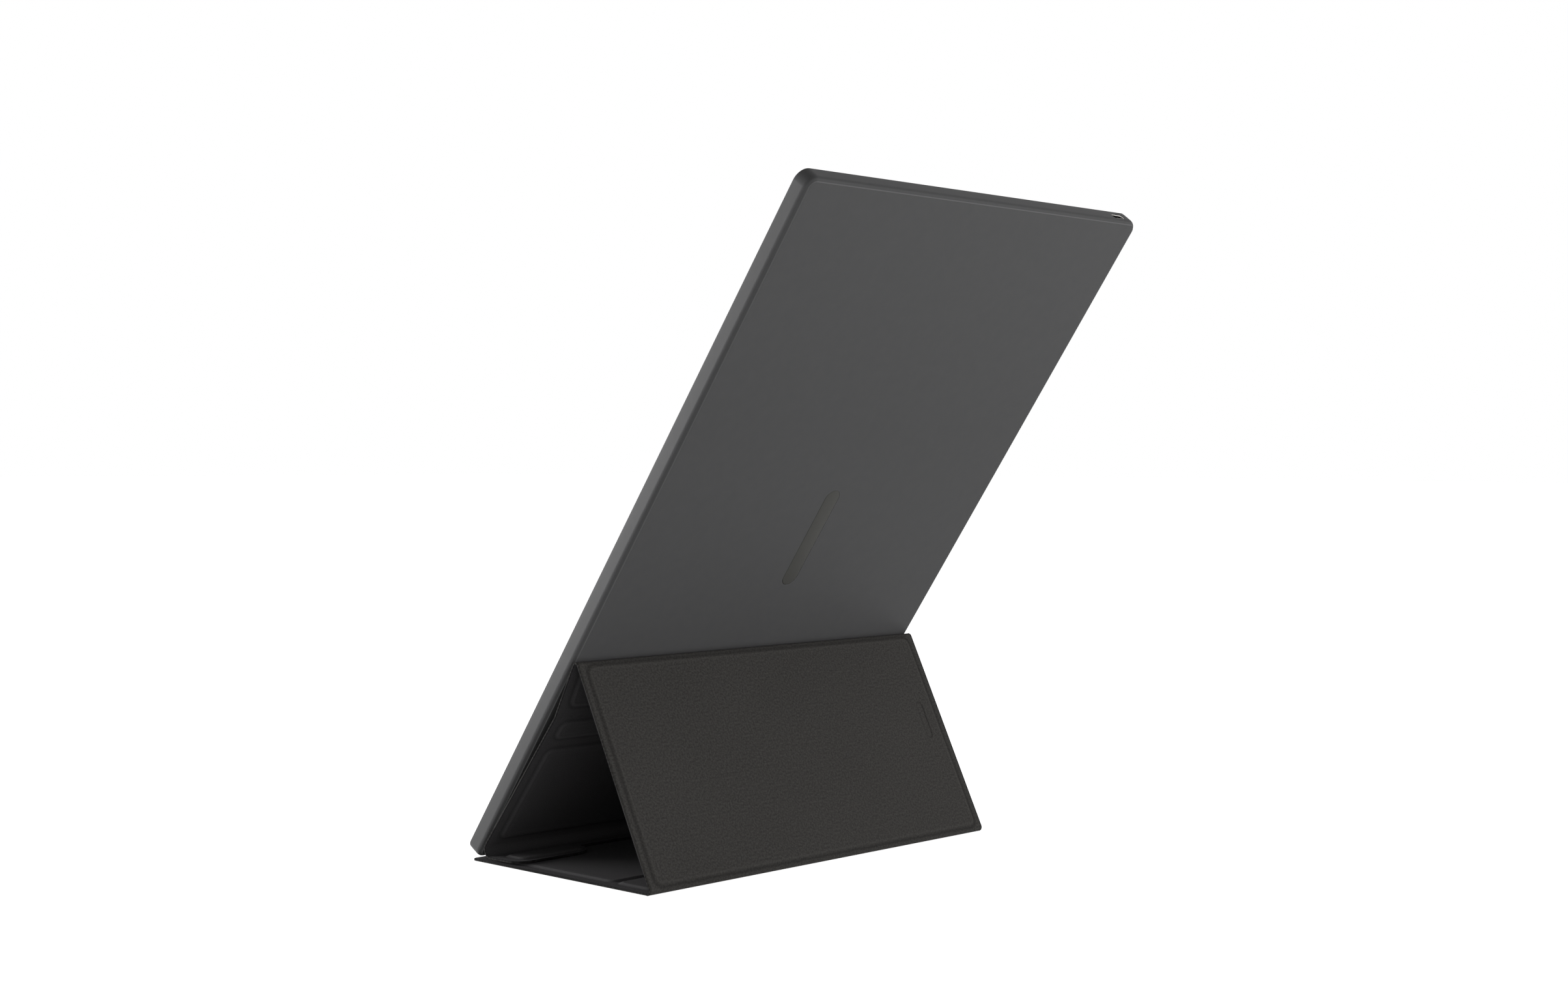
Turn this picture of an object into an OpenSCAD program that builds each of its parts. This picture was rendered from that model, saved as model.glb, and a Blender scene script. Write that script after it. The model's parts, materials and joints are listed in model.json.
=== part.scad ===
// Portable monitor standing upright on its folded cover.
// The cover is one strip of panels folded into a three-sided stand: base, rear panel, ridge,
// then three panels down the monitor's back, a round curl and a short flap on the base.
// X runs along the folds, Y points to the rear, Z is up. The origin is the middle of the base's underside.

/* [Monitor body] */
// Width of the monitor, along the folds
mon_w = 226.4; // [215:0.1:260]
// Length of the monitor, up the slope
mon_l = 359.7; // [352:0.1:400]
// Thickness of the monitor, back face to bezel face
mon_t = 8; // [8:0.1:12]
// Corner radius of the monitor's outline at its upper end
mon_r = 7; // [5:0.5:12]
// Corner radius of the monitor's outline at its foot
foot_r = 4.5; // [3.5:0.5:12]
// Inset of the flat back face inside the front outline
back_inset = 1.6; // [0.8:0.1:2.2]
// Bevel between the back face and the side walls
back_bevel = 0.5; // [0.3:0.1:1]
// Thickness of the back cover's floor
floor_t = 1.4; // [1.2:0.1:1.8]
// Thickness of the side walls at the rim
wall_t = 3.2; // [2.8:0.1:3.4]
// Thickness of the front bezel
bezel_t = 1.2; // [1:0.1:1.6]
// Thickness of the rim that the bezel sits in
rim_t = 1.2; // [0.8:0.1:1.8]
// Clearance between the bezel and the rim
bezel_gap = 0.1; // [0.05:0.05:0.2]
// Depth of the plain inlay in the back face
inlay_t = 0.3; // [0.2:0.05:0.5]
// Length of the plain inlay
inlay_l = 54; // [20:1:80]
// Width of the plain inlay
inlay_w = 9; // [4:0.5:16]

/* [Display] */
// Border beside the picture on the chin side
chin_w = 24.5; // [24:0.1:30]
// Border beside the picture on the other side
side_w = 8.3; // [7:0.1:14]
// Border at the picture's two ends
end_w = 7.75; // [7:0.05:12]
// Border of the display module on its driver side
module_driver_edge = 6.5; // [5:0.1:7]
// Border of the display module on its other sides
module_edge = 3.1; // [2.5:0.1:3.3]
// Play between the picture and the bezel's window
window_play = 0.5; // [0.2:0.1:1]
// Thickness of the display's glass cell
cell_t = 0.9; // [0.7:0.1:1]
// Thickness of the prism film
prism_t = 0.3; // [0.2:0.05:0.4]
// Thickness of the diffuser film
diffuser_t = 0.3; // [0.2:0.05:0.4]
// Thickness of the light guide
guide_t = 0.6; // [0.5:0.05:0.7]
// Thickness of the reflector film
reflector_t = 0.2; // [0.1:0.05:0.25]
// Thickness of the display's steel tray
tray_t = 0.4; // [0.3:0.05:0.5]
// Width of the plastic frame around the films
frame_w = 1; // [0.6:0.1:1.2]

/* [Electronics] */
// Thickness of the circuit boards
pcb_t = 0.8; // [0.6:0.1:1]
// Length of the main board, down from the port
board_l = 92; // [80:1:120]
// Width of the main board
board_w = 48; // [40:1:60]
// Side of the video chip
chip_w = 16; // [10:1:20]
// Height of the video chip
chip_h = 1.1; // [0.8:0.1:1.2]
// Length and width of the shield can
can_w = 24; // [16:1:28]
// Height of the shield can
can_h = 1.4; // [1:0.1:1.5]
// Width of the port's shell
port_w = 8.94; // [8.94:0.01:9]
// Height of the port's shell
port_h = 3.2; // [3.2:0.01:3.3]
// Depth of the port's shell
port_d = 7.35; // [7:0.05:8]
// Wall of the port's shell
port_wall = 0.3; // [0.2:0.05:0.35]
// Distance of the port from the monitor's chin side
port_side = 13; // [12.5:0.1:13.2]
// Height of the port's centre over the back face
port_lift = 4; // [3.9:0.1:4.4]
// Distance of the port's mouth inside the end wall
port_recess = 0.3; // [0.2:0.1:1]
// Radius of a board screw's shank
screw_r = 0.8; // [0.6:0.05:1]
// Length of the holding plate in the back cover
plate_w = 150; // [100:1:180]
// Height of the holding plate, up the slope
plate_l = 36; // [20:1:44]
// Thickness of the holding plate
plate_t = 0.5; // [0.4:0.1:1]

/* [Buttons] */
// Length of a button
button_l = 10; // [7:0.5:14]
// Width of a button
button_w = 4; // [3:0.5:6]
// How far a button stands proud of the bezel
button_proud = 0.2; // [0.1:0.05:0.5]
// Travel of a button
button_travel = 0.4; // [0.2:0.05:0.5]
// Clearance around a button
button_gap = 0.25; // [0.15:0.05:0.4]
// Distance of the first button from the monitor's lower end
button_start = 28; // [24:1:60]
// Distance from one button to the next
button_pitch = 20; // [18:1:40]

/* [Stand] */
// Lean of the monitor from level, in degrees
lean = 54.9; // [45:0.1:65]
// Length of the base, front edge to rear fold
base_l = 119; // [110:1:135]
// Front edge of the base to the foot of the monitor's back
foot_in = 3.1; // [2:0.1:8]
// Height of the foot of the monitor's back plane
foot_z = 1.1; // [1:0.1:3]
// Height up the monitor's back to the middle of the ridge
ridge_v = 115; // [105:1:125]
// Run of the upper strip down the monitor's back, from the middle of the ridge to the upper crease
upper_run = 27; // [22:0.5:32]
// Distance of the upper crease behind the monitor
crease_up_b = 4.1; // [3:0.1:6]
// Run of the spine strip down the monitor's back, from the upper crease to the lower one
spine_run = 15; // [12:0.5:20]
// Distance of the lower crease behind the monitor
crease_low_b = 3.4; // [2.5:0.1:5]
// Radius of the rear fold and of the ridge
fold_r = 2; // [1.6:0.1:2.6]
// Radius of the curl at the foot
curl_r = 4.2; // [3:0.1:5]
// Length of the flap, from the middle of the curl
flap_l = 20; // [17:0.5:24]
// Rear end of the base's main board, behind the middle of the base
base_seam = 29; // [15:1:34]
// Half the length of the flap's cut-out
notch_x = 64; // [40:1:75]
// Distance of the cut-out from the middle of the curl
notch_y = 6; // [4:0.5:8]

/* [Cover panels] */
// Thickness of the outer leather
skin_t = 0.5; // [0.3:0.05:0.7]
// Thickness of the stiffening boards
board_t = 1; // [0.8:0.1:1.4]
// Thickness of the lining
lining_t = 0.5; // [0.3:0.05:0.7]
// How far the boards press the leather out
relief = 0.3; // [0.1:0.05:0.4]
// Width of the thin margin beside the boards
margin = 6.5; // [4:0.5:10]
// Distance from a fold to the boards
fold_margin = 4; // [3:0.5:5]
// Corner radius of the boards
board_r = 3; // [1.5:0.5:4]
// Corner radius of the base's front corners
base_corner = 2.5; // [1:0.5:6]
// Corner radius of the flap's outer corners
flap_corner = 8; // [4:0.5:10]
// Radius of the round magnets
magnet_r = 3.5; // [2:0.5:4]
// Gap left between folding panels
fold_gap = 0.3; // [0.2:0.05:0.4]
// Gap between the monitor and the cover
seat_gap = 0.3; // [0.2:0.05:0.4]

/* [Hidden] */

$fn = 48;
hull_fn = 32;
big = 600;
nudge = 0.01;

metal = [0.33, 0.33, 0.34];
plastic = [0.09, 0.09, 0.1];
board_green = [0.08, 0.28, 0.16];
steel = [0.7, 0.7, 0.72];
leather = [0.22, 0.21, 0.2];
cloth = [0.13, 0.125, 0.13];
card = [0.45, 0.4, 0.33];

// Levels inside the monitor, measured from its back face towards the screen
rim_z = mon_t - bezel_t;
cell_z = rim_z - cell_t;
prism_z = cell_z - prism_t;
diffuser_z = prism_z - diffuser_t;
guide_z = diffuser_z - guide_t;
reflector_z = guide_z - reflector_t;
tray_z = reflector_z - tray_t;
pcb_z = port_lift - port_h / 2 - pcb_t;
pcb_top = pcb_z + pcb_t;
chin_play = 0.4;
driver_z = tray_z - pcb_t;
driver_w = 10;
cable_w = 8;
cable_t = 0.3;
cable_lap = 10;
cable_rise = 10;

// Places across the monitor
chin_x = -mon_w / 2;
pic_x0 = chin_x + chin_w;
pic_x1 = mon_w / 2 - side_w;
pic_v0 = end_w;
pic_v1 = mon_l - end_w;
mod_x0 = pic_x0 - module_driver_edge;
mod_x1 = pic_x1 + module_edge;
mod_v0 = pic_v0 - module_edge;
mod_v1 = pic_v1 + module_edge;
led_w = 1.2;
room_x = mon_w / 2 - wall_t;
room_v0 = wall_t;
room_v1 = mon_l - wall_t;
port_x = chin_x + port_side;
port_mouth = mon_l - port_recess;
button_x = chin_x + chin_w / 2;
button_count = 2;
indicator_v = button_start + button_count * button_pitch;
indicator_r = 0.6;

// Button parts
flange_t = 0.6;
flange_z = rim_z - 0.3 - flange_t;
dome_h = 0.85;
dome_z = flange_z - button_travel - 0.05 - dome_h;
dome_r = 2;
bboard_z = dome_z - pcb_t;
bboard_w = 10;
bboard_v0 = button_start - button_l;
bboard_v1 = indicator_v + 4;
boss_r = 2;
head_r = 1.6;
head_h = 0.6;
screw_edge = 4;
clip_w = 8;
clip_t = 0.7;
clip_h = 1.4;

// Panel thicknesses and levels
bonded_t = skin_t + lining_t;
panel_t = bonded_t + board_t;
cover_w = mon_w - 0.4;
board_x = cover_w / 2 - margin;

// Fold centres and creases as [y, z]. A place on the monitor's back is given by its height up the
// slope and its distance behind the back face.
foot_y = foot_in - base_l / 2;
function behind(v, b) = [foot_y + v * cos(lean) + b * sin(lean), foot_z + v * sin(lean) - b * cos(lean)];
function heading(p, q) = (atan2(q[1] - p[1], q[0] - p[0]) + 360) % 360;
rear_c = [base_l / 2 - fold_r, relief + fold_r];
ridge_c = behind(ridge_v, seat_gap + fold_r);
crease_up = behind(ridge_v - upper_run, crease_up_b);
crease_low_v = ridge_v - upper_run - spine_run;
crease_low = behind(crease_low_v, crease_low_b);
flap_play = 0.1;
curl_b = curl_r + seat_gap + 0.2;
curl_z = panel_t + flap_play + relief + curl_r;
curl_c = behind((curl_z - foot_z + curl_b * cos(lean)) / sin(lean), curl_b);

// Length and heading of each panel's outer face between its folds
rear_a = heading(rear_c, ridge_c);
rear_l = norm(ridge_c - rear_c);
upper_d = norm(crease_up - ridge_c);
upper_a = heading(ridge_c, crease_up) + asin(fold_r / upper_d);
upper_l = sqrt(upper_d * upper_d - fold_r * fold_r);
spine_a = heading(crease_up, crease_low);
spine_l = norm(crease_low - crease_up);
front_d = norm(curl_c - crease_low);
front_a = heading(crease_low, curl_c) - asin(curl_r / front_d);
front_l = sqrt(front_d * front_d - curl_r * curl_r);

// Start of the upper strip, clear of the ridge's loop at any angle
upper_start = sqrt(pow(fold_r + fold_gap, 2) - pow(fold_r - bonded_t, 2));

// Board areas as [middle x, half width, start, end] along each panel
base_split = base_seam - rear_c[0];
base_areas = [[0, board_x, margin - (base_l - fold_r), base_split]];
base_rear_areas = [[0, board_x, base_split + fold_margin, -fold_margin]];
rear_areas = [[0, board_x, fold_margin, rear_l - fold_margin]];
upper_areas = [[0, board_x, fold_margin, upper_l - fold_margin - 1.5]];
spine_areas = [[0, board_x, fold_margin - 1, spine_l - fold_margin + 1]];
front_areas = [[0, board_x, fold_margin + 1, front_l - fold_margin]];
tab_in = notch_x + margin;
tab_x = (tab_in + board_x) / 2;
tab_half = (board_x - tab_in) / 2;
flap_areas = [for (s = [-1, 1]) [s * tab_x, tab_half, fold_margin, flap_l - fold_margin]];
flap_magnet_y = flap_l / 2;
flap_magnet_x = [for (s = [-1, 1], k = [-0.5, 0.5]) s * tab_x + k * tab_half];
front_magnet_l = front_l / 2;
front_magnet_w = 40;
front_magnet_h = 12;

// Rounded outlines made of squares and circles
module corner_cut(p, d, r) {
    low = [min(p[0], p[0] + d[0] * r), min(p[1], p[1] + d[1] * r)];
    difference() {
        translate([low[0] - (d[0] > 0 ? nudge : 0), low[1] - (d[1] > 0 ? nudge : 0)])
            square(r + nudge);
        translate([p[0] + d[0] * r, p[1] + d[1] * r]) circle(r);
    }
}

module outline(half, y0, y1, r0 = 0, r1 = 0) {
    difference() {
        translate([-half, y0]) square([2 * half, y1 - y0]);
        for (s = [-1, 1]) {
            if (r0 > 0) corner_cut([s * half, y0], [-s, 1], r0);
            if (r1 > 0) corner_cut([s * half, y1], [-s, -1], r1);
        }
    }
}

module box(x0, x1, y0, y1, z0, z1) {
    translate([x0, y0, z0]) cube([x1 - x0, y1 - y0, z1 - z0]);
}

module rounded_box(x0, x1, y0, y1, z0, z1, r) {
    translate([(x0 + x1) / 2, 0, z0])
        linear_extrude(z1 - z0) outline((x1 - x0) / 2, y0, y1, r, r);
}

module pill(l, w, h) {
    linear_extrude(h) {
        square([w, l - w], center = true);
        for (s = [-1, 1]) translate([0, s * (l - w) / 2]) circle(w / 2);
    }
}

// Monitor pieces: X across, Y up the slope from the foot, Z from the back face to the screen
module on_monitor() {
    translate([0, foot_y, foot_z]) rotate([lean, 0, 0]) children();
}

module body_outline(inset) {
    outline(mon_w / 2 - inset, inset, mon_l - inset, foot_r - inset, mon_r - inset);
}

module body_slice(inset, z) {
    translate([0, 0, z]) linear_extrude(nudge) body_outline(inset, $fn = hull_fn);
}

module boss_places() {
    for (v = [bboard_v0 + 3, bboard_v1 - 3]) translate([button_x - 2.5, v, 0]) children();
}

module board_screw_places() {
    for (x = [screw_edge, board_w - screw_edge], v = [0.2, 0.94])
        translate([chin_x + wall_t + x, room_v1 - board_l * v, 0]) children();
}

module inlay_shape(t) {
    translate([0, mon_l / 2, 0]) pill(inlay_l, inlay_w, t);
}

module port_hole(grow, depth) {
    translate([port_x, port_mouth - depth, port_lift]) rotate([-90, 0, 0]) rotate([0, 0, 90])
        pill(port_w + 2 * grow, port_h + 2 * grow, depth + mon_l);
}

module back_cover() {
    color(metal) on_monitor() difference() {
        union() {
            difference() {
                hull() {
                    body_slice(back_inset + back_bevel, 0);
                    body_slice(back_inset, back_bevel);
                    body_slice(0, mon_t - nudge);
                }
                translate([0, 0, floor_t]) linear_extrude(mon_t) body_outline(wall_t);
                translate([0, 0, rim_z]) linear_extrude(mon_t) body_outline(rim_t);
            }
            boss_places() cylinder(r = boss_r, h = bboard_z);
        }
        translate([0, 0, -nudge]) inlay_shape(inlay_t + nudge);
        port_hole(0.1, wall_t);
        boss_places() translate([0, 0, floor_t]) cylinder(r = screw_r, h = mon_t);
        board_screw_places() translate([0, 0, floor_t / 2]) cylinder(r = screw_r, h = mon_t);
    }
}

module back_inlay() {
    color([0.2, 0.2, 0.19]) on_monitor() inlay_shape(inlay_t);
}

module button_places(which) {
    translate([button_x, button_start + which * button_pitch, 0]) children();
}

module front_bezel() {
    color(plastic) on_monitor() difference() {
        union() {
            translate([0, 0, rim_z]) linear_extrude(bezel_t) body_outline(rim_t + bezel_gap);
            for (s = [-1, 1], v = [0.15, 0.38, 0.62, 0.85])
                translate([s * (room_x - 0.1 - clip_t / 2), v * mon_l, rim_z - clip_h / 2])
                    cube([clip_t, clip_w, clip_h + nudge], center = true);
        }
        rounded_box(pic_x0 - window_play, pic_x1 + window_play, pic_v0 - window_play,
            pic_v1 + window_play, 0, mon_t + 1, 0.6);
        for (i = [0 : button_count - 1]) button_places(i)
            pill(button_l + 2 * button_gap, button_w + 2 * button_gap, mon_t + 1);
        translate([button_x, indicator_v, 0]) cylinder(r = indicator_r, h = mon_t + 1);
    }
}

module layer(z, t, edge = frame_w) {
    box(mod_x0 + edge, mod_x1 - edge, mod_v0 + edge, mod_v1 - edge, z, z + t);
}

module lcd_cell() {
    color([0.03, 0.03, 0.04]) on_monitor() layer(cell_z, cell_t, 0.2);
}

module prism_film() {
    color([0.85, 0.87, 0.9]) on_monitor() layer(prism_z, prism_t);
}

module diffuser_film() {
    color([0.93, 0.93, 0.93]) on_monitor() layer(diffuser_z, diffuser_t);
}

module light_guide() {
    color([0.8, 0.9, 0.92]) on_monitor()
        box(mod_x0 + frame_w + led_w, mod_x1 - frame_w, mod_v0 + frame_w, mod_v1 - frame_w, guide_z, diffuser_z);
}

module reflector_film() {
    color("white") on_monitor() layer(reflector_z, reflector_t);
}

module led_bar() {
    color([0.95, 0.93, 0.8]) on_monitor()
        box(mod_x0 + frame_w, mod_x0 + frame_w + led_w, mod_v0 + frame_w, mod_v1 - frame_w, guide_z, diffuser_z);
}

module panel_frame() {
    color([0.15, 0.15, 0.16]) on_monitor() difference() {
        layer(reflector_z, cell_z - reflector_z, 0);
        translate([0, 0, -1]) layer(reflector_z, mon_t);
    }
}

module panel_tray() {
    color(steel) on_monitor() layer(tray_z, tray_t, 0);
}

// Upper end of the driver board, where the cable leaves it
cable_v = room_v1 - board_l - cable_w;

module driver_board() {
    color(board_green) on_monitor()
        box(mod_x0 + frame_w, mod_x0 + frame_w + driver_w, mon_l / 6, cable_v, driver_z, tray_z);
}

// The flat cable steps up from the main board to the driver board
module display_cable() {
    v_high = cable_v + cable_rise;
    color([0.75, 0.5, 0.15]) on_monitor() translate([mod_x0 + 2 * frame_w, 0, 0]) rotate([90, 0, 90])
        linear_extrude(cable_w) polygon([
            [v_high + cable_lap, pcb_top], [v_high, pcb_top], [cable_v, driver_z - cable_t],
            [cable_v - cable_lap, driver_z - cable_t], [cable_v - cable_lap, driver_z], [cable_v, driver_z],
            [v_high, pcb_top + cable_t], [v_high + cable_lap, pcb_top + cable_t]]);
}

module main_board_shape(z, t) {
    difference() {
        box(chin_x + wall_t + chin_play, chin_x + wall_t + board_w, room_v1 - board_l, room_v1 - 0.1, z, z + t);
        board_screw_places() translate([0, 0, z - 1]) cylinder(r = screw_r + 0.1, h = t + 2);
    }
}

module insulating_sheet() {
    color([0.1, 0.1, 0.1]) on_monitor() main_board_shape(floor_t, pcb_z - floor_t);
}

module main_board() {
    color(board_green) on_monitor() main_board_shape(pcb_z, pcb_t);
}

chip_x = chin_x + wall_t + board_w - 14;
chip_v = room_v1 - board_l * 0.45;

module video_chip() {
    color([0.1, 0.1, 0.11]) on_monitor() translate([chip_x, chip_v, pcb_top + chip_h / 2])
        cube([chip_w, chip_w, chip_h], center = true);
}

module thermal_pad() {
    pad_z = pcb_top + chip_h;
    color([0.6, 0.65, 0.75]) on_monitor() translate([chip_x, chip_v, (pad_z + tray_z) / 2])
        cube([chip_w - 2, chip_w - 2, tray_z - pad_z], center = true);
}

module shield_can() {
    color(steel) on_monitor() translate([chin_x + wall_t + 6 + can_w / 2, room_v1 - board_l * 0.72, pcb_top])
        difference() {
            translate([0, 0, can_h / 2]) cube([can_w - 4, can_w, can_h], center = true);
            cube([can_w - 4.4, can_w - 0.4, 2 * can_h - 0.4], center = true);
        }
}

module port_tube(grow, length) {
    translate([port_x, port_mouth - port_d, port_lift]) rotate([-90, 0, 0]) rotate([0, 0, 90])
        pill(port_w + 2 * grow, port_h + 2 * grow, length);
}

module port_shell() {
    color(steel) on_monitor() difference() {
        port_tube(0, port_d);
        translate([0, -1, 0]) port_tube(-port_wall, port_d + 2);
    }
}

module port_tongue() {
    color([0.12, 0.12, 0.13]) on_monitor() {
        port_tube(-port_wall, 1.4);
        translate([port_x, port_mouth - port_d + 3.2, port_lift]) cube([6.69, 5.2, 0.7], center = true);
    }
}

module button_board() {
    color(board_green) on_monitor() difference() {
        box(button_x - bboard_w / 2, button_x + bboard_w / 2, bboard_v0, bboard_v1, bboard_z, dome_z);
        boss_places() translate([0, 0, bboard_z - 1]) cylinder(r = screw_r + 0.1, h = pcb_t + 2);
    }
}

module dome_switches() {
    color(steel) on_monitor() for (i = [0 : button_count - 1]) button_places(i)
        translate([0, 0, dome_z]) cylinder(r1 = dome_r, r2 = dome_r / 2, h = dome_h, $fn = 32);
}

module button(which) {
    color([0.12, 0.12, 0.13]) on_monitor() button_places(which) {
        translate([0, 0, flange_z]) pill(button_l + 1.6, button_w + 1.6, flange_t);
        translate([0, 0, flange_z]) pill(button_l, button_w, mon_t + button_proud - flange_z);
    }
}

module power_button() {
    button(0);
}

module menu_button() {
    button(1);
}

module indicator_pipe() {
    color([0.9, 0.9, 0.9]) on_monitor() translate([button_x, indicator_v, dome_z])
        cylinder(r = indicator_r, h = mon_t - dome_z);
}

module screw(top, depth) {
    translate([0, 0, top]) cylinder(r = head_r, h = head_h);
    translate([0, 0, top - depth]) cylinder(r = screw_r, h = depth);
}

module board_screws() {
    color(steel) on_monitor() {
        board_screw_places() screw(pcb_top, pcb_top - floor_t / 2);
        boss_places() screw(dome_z, dome_z - floor_t);
    }
}

module holding_plate() {
    v_mid = (crease_low_v + curl_r + curl_b) / 2;
    color(steel) on_monitor()
        box(-plate_w / 2, plate_w / 2, v_mid - plate_l / 2, v_mid + plate_l / 2, floor_t, floor_t + plate_t);
}

// Cover pieces: each panel lies along Y from its fold, with its leather face down at level 0
module on_panel(p, heading, r) {
    translate([0, p[0], p[1]]) rotate([heading, 0, 0]) translate([0, 0, -r - relief]) children();
}

module board_shapes(areas, grow = 0) {
    for (a = areas) translate([a[0], 0])
        outline(a[1] + grow, a[2] - grow, a[3] + grow, board_r + grow, board_r + grow);
}

module skin_sheet(areas) {
    difference() {
        linear_extrude(relief + skin_t) children();
        translate([0, 0, -1]) linear_extrude(1 + relief) difference() {
            square(big, center = true);
            board_shapes(areas, skin_t);
        }
        translate([0, 0, skin_t]) linear_extrude(panel_t) board_shapes(areas);
    }
}

module lining_sheet(areas) {
    difference() {
        translate([0, 0, relief + skin_t]) linear_extrude(panel_t - relief - skin_t) children();
        translate([0, 0, relief + bonded_t]) linear_extrude(panel_t) difference() {
            square(big, center = true);
            board_shapes(areas, lining_t);
        }
        linear_extrude(skin_t + board_t) board_shapes(areas);
    }
}

module board_sheet(areas) {
    translate([0, 0, skin_t]) linear_extrude(board_t) board_shapes(areas);
}

module fold_loop(p, r, a0, a1) {
    reach = 4 * r;
    span = a1 - a0;
    translate([-cover_w / 2, p[0], p[1]]) rotate([90, 0, 90]) intersection() {
        difference() {
            cylinder(r = r, h = cover_w);
            translate([0, 0, -1]) cylinder(r = r - bonded_t, h = cover_w + 2);
        }
        linear_extrude(cover_w) polygon([
            [0, 0], reach * [cos(a0), sin(a0)], reach * [cos(a0 + span / 3), sin(a0 + span / 3)],
            reach * [cos(a0 + 2 * span / 3), sin(a0 + 2 * span / 3)], reach * [cos(a1), sin(a1)]]);
    }
}

module base_shape() {
    outline(cover_w / 2, fold_r - base_l, 0, base_corner);
}

module base_magnet_places() {
    for (x = flap_magnet_x)
        translate([x, curl_c[0] + flap_magnet_y - rear_c[0], skin_t]) children();
}

module base_skin() {
    color(leather) on_panel(rear_c, 0, fold_r) skin_sheet(concat(base_areas, base_rear_areas)) base_shape();
}

module base_board() {
    color(card) on_panel(rear_c, 0, fold_r) difference() {
        board_sheet(base_areas);
        base_magnet_places() translate([0, 0, -1]) cylinder(r = magnet_r + 0.05, h = board_t + 2);
    }
}

module base_rear_board() {
    color(card) on_panel(rear_c, 0, fold_r) board_sheet(base_rear_areas);
}

module base_lining() {
    color(cloth) on_panel(rear_c, 0, fold_r) lining_sheet(concat(base_areas, base_rear_areas)) base_shape();
}

module base_magnets() {
    color(steel) on_panel(rear_c, 0, fold_r) base_magnet_places() cylinder(r = magnet_r, h = board_t);
}

module rear_fold() {
    color(leather) fold_loop(rear_c, fold_r, -90, rear_a - 90);
}

module rear_shape() {
    outline(cover_w / 2, fold_gap, rear_l);
}

module rear_skin() {
    color(leather) on_panel(rear_c, rear_a, fold_r) skin_sheet(rear_areas) rear_shape();
}

module rear_board() {
    color(card) on_panel(rear_c, rear_a, fold_r) board_sheet(rear_areas);
}

module rear_lining() {
    color(cloth) on_panel(rear_c, rear_a, fold_r) lining_sheet(rear_areas) rear_shape();
}

module ridge_fold() {
    color(leather) fold_loop(ridge_c, fold_r, rear_a - 90, upper_a - 60);
}

module upper_shape() {
    outline(cover_w / 2, upper_start, upper_l - fold_gap / 2);
}

module upper_skin() {
    color(leather) on_panel(ridge_c, upper_a, fold_r) skin_sheet(upper_areas) upper_shape();
}

module upper_board() {
    color(card) on_panel(ridge_c, upper_a, fold_r) board_sheet(upper_areas);
}

module upper_lining() {
    color(cloth) on_panel(ridge_c, upper_a, fold_r) lining_sheet(upper_areas) upper_shape();
}

module spine_shape() {
    outline(cover_w / 2, fold_gap / 2, spine_l - fold_gap / 2);
}

module spine_skin() {
    color(leather) on_panel(crease_up, spine_a, 0) skin_sheet(spine_areas) spine_shape();
}

module spine_board() {
    color(card) on_panel(crease_up, spine_a, 0) board_sheet(spine_areas);
}

module spine_lining() {
    color(cloth) on_panel(crease_up, spine_a, 0) lining_sheet(spine_areas) spine_shape();
}

module front_shape() {
    outline(cover_w / 2, fold_gap / 2, front_l);
}

module front_magnet_shapes() {
    for (x = [-0.3, 0, 0.3]) translate([x * cover_w, front_magnet_l])
        square([front_magnet_w, front_magnet_h], center = true);
}

module front_skin() {
    color(leather) on_panel(crease_low, front_a, 0) skin_sheet(front_areas) front_shape();
}

module front_board() {
    color(card) on_panel(crease_low, front_a, 0) difference() {
        board_sheet(front_areas);
        linear_extrude(panel_t) front_magnet_shapes();
    }
}

module front_lining() {
    color(cloth) on_panel(crease_low, front_a, 0) lining_sheet(front_areas) front_shape();
}

module front_magnets() {
    color(steel) on_panel(crease_low, front_a, 0) translate([0, 0, skin_t])
        linear_extrude(board_t) front_magnet_shapes();
}

module curl_fold() {
    color(leather) fold_loop(curl_c, curl_r, front_a - 90, 270);
}

// The flap has a tab at each end and a long cut-out between them
module flap_shape() {
    notch_round = flap_l - notch_y;
    difference() {
        outline(cover_w / 2, fold_gap, flap_l, 0, flap_corner);
        translate([-notch_x, notch_y]) square([2 * notch_x, flap_l]);
        for (s = [-1, 1]) corner_cut([s * notch_x, flap_l], [s, -1], notch_round);
    }
}

module flap_magnet_places() {
    for (x = flap_magnet_x) translate([x, flap_magnet_y, skin_t]) children();
}

module flap_skin() {
    color(leather) on_panel(curl_c, 0, curl_r) skin_sheet(flap_areas) flap_shape();
}

module flap_board() {
    color(card) on_panel(curl_c, 0, curl_r) difference() {
        board_sheet(flap_areas);
        flap_magnet_places() translate([0, 0, -1]) cylinder(r = magnet_r + 0.05, h = board_t + 2);
    }
}

module flap_lining() {
    color(cloth) on_panel(curl_c, 0, curl_r) lining_sheet(flap_areas) flap_shape();
}

module flap_magnets() {
    color(steel) on_panel(curl_c, 0, curl_r) flap_magnet_places() cylinder(r = magnet_r, h = board_t);
}

echo(rear_c = rear_c, ridge_c = ridge_c, crease_up = crease_up, crease_low = crease_low, curl_c = curl_c);
echo(rear_a = rear_a, upper_a = upper_a, spine_a = spine_a, front_a = front_a);

back_cover();
back_inlay();
front_bezel();
lcd_cell();
prism_film();
diffuser_film();
light_guide();
reflector_film();
led_bar();
panel_frame();
panel_tray();
driver_board();
display_cable();
insulating_sheet();
main_board();
video_chip();
thermal_pad();
shield_can();
port_shell();
port_tongue();
button_board();
dome_switches();
power_button();
menu_button();
indicator_pipe();
board_screws();
holding_plate();
base_skin();
base_board();
base_rear_board();
base_lining();
base_magnets();
rear_fold();
rear_skin();
rear_board();
rear_lining();
ridge_fold();
upper_skin();
upper_board();
upper_lining();
spine_skin();
spine_board();
spine_lining();
front_skin();
front_board();
front_lining();
front_magnets();
curl_fold();
flap_skin();
flap_board();
flap_lining();
flap_magnets();
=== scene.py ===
import json
import math

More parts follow.
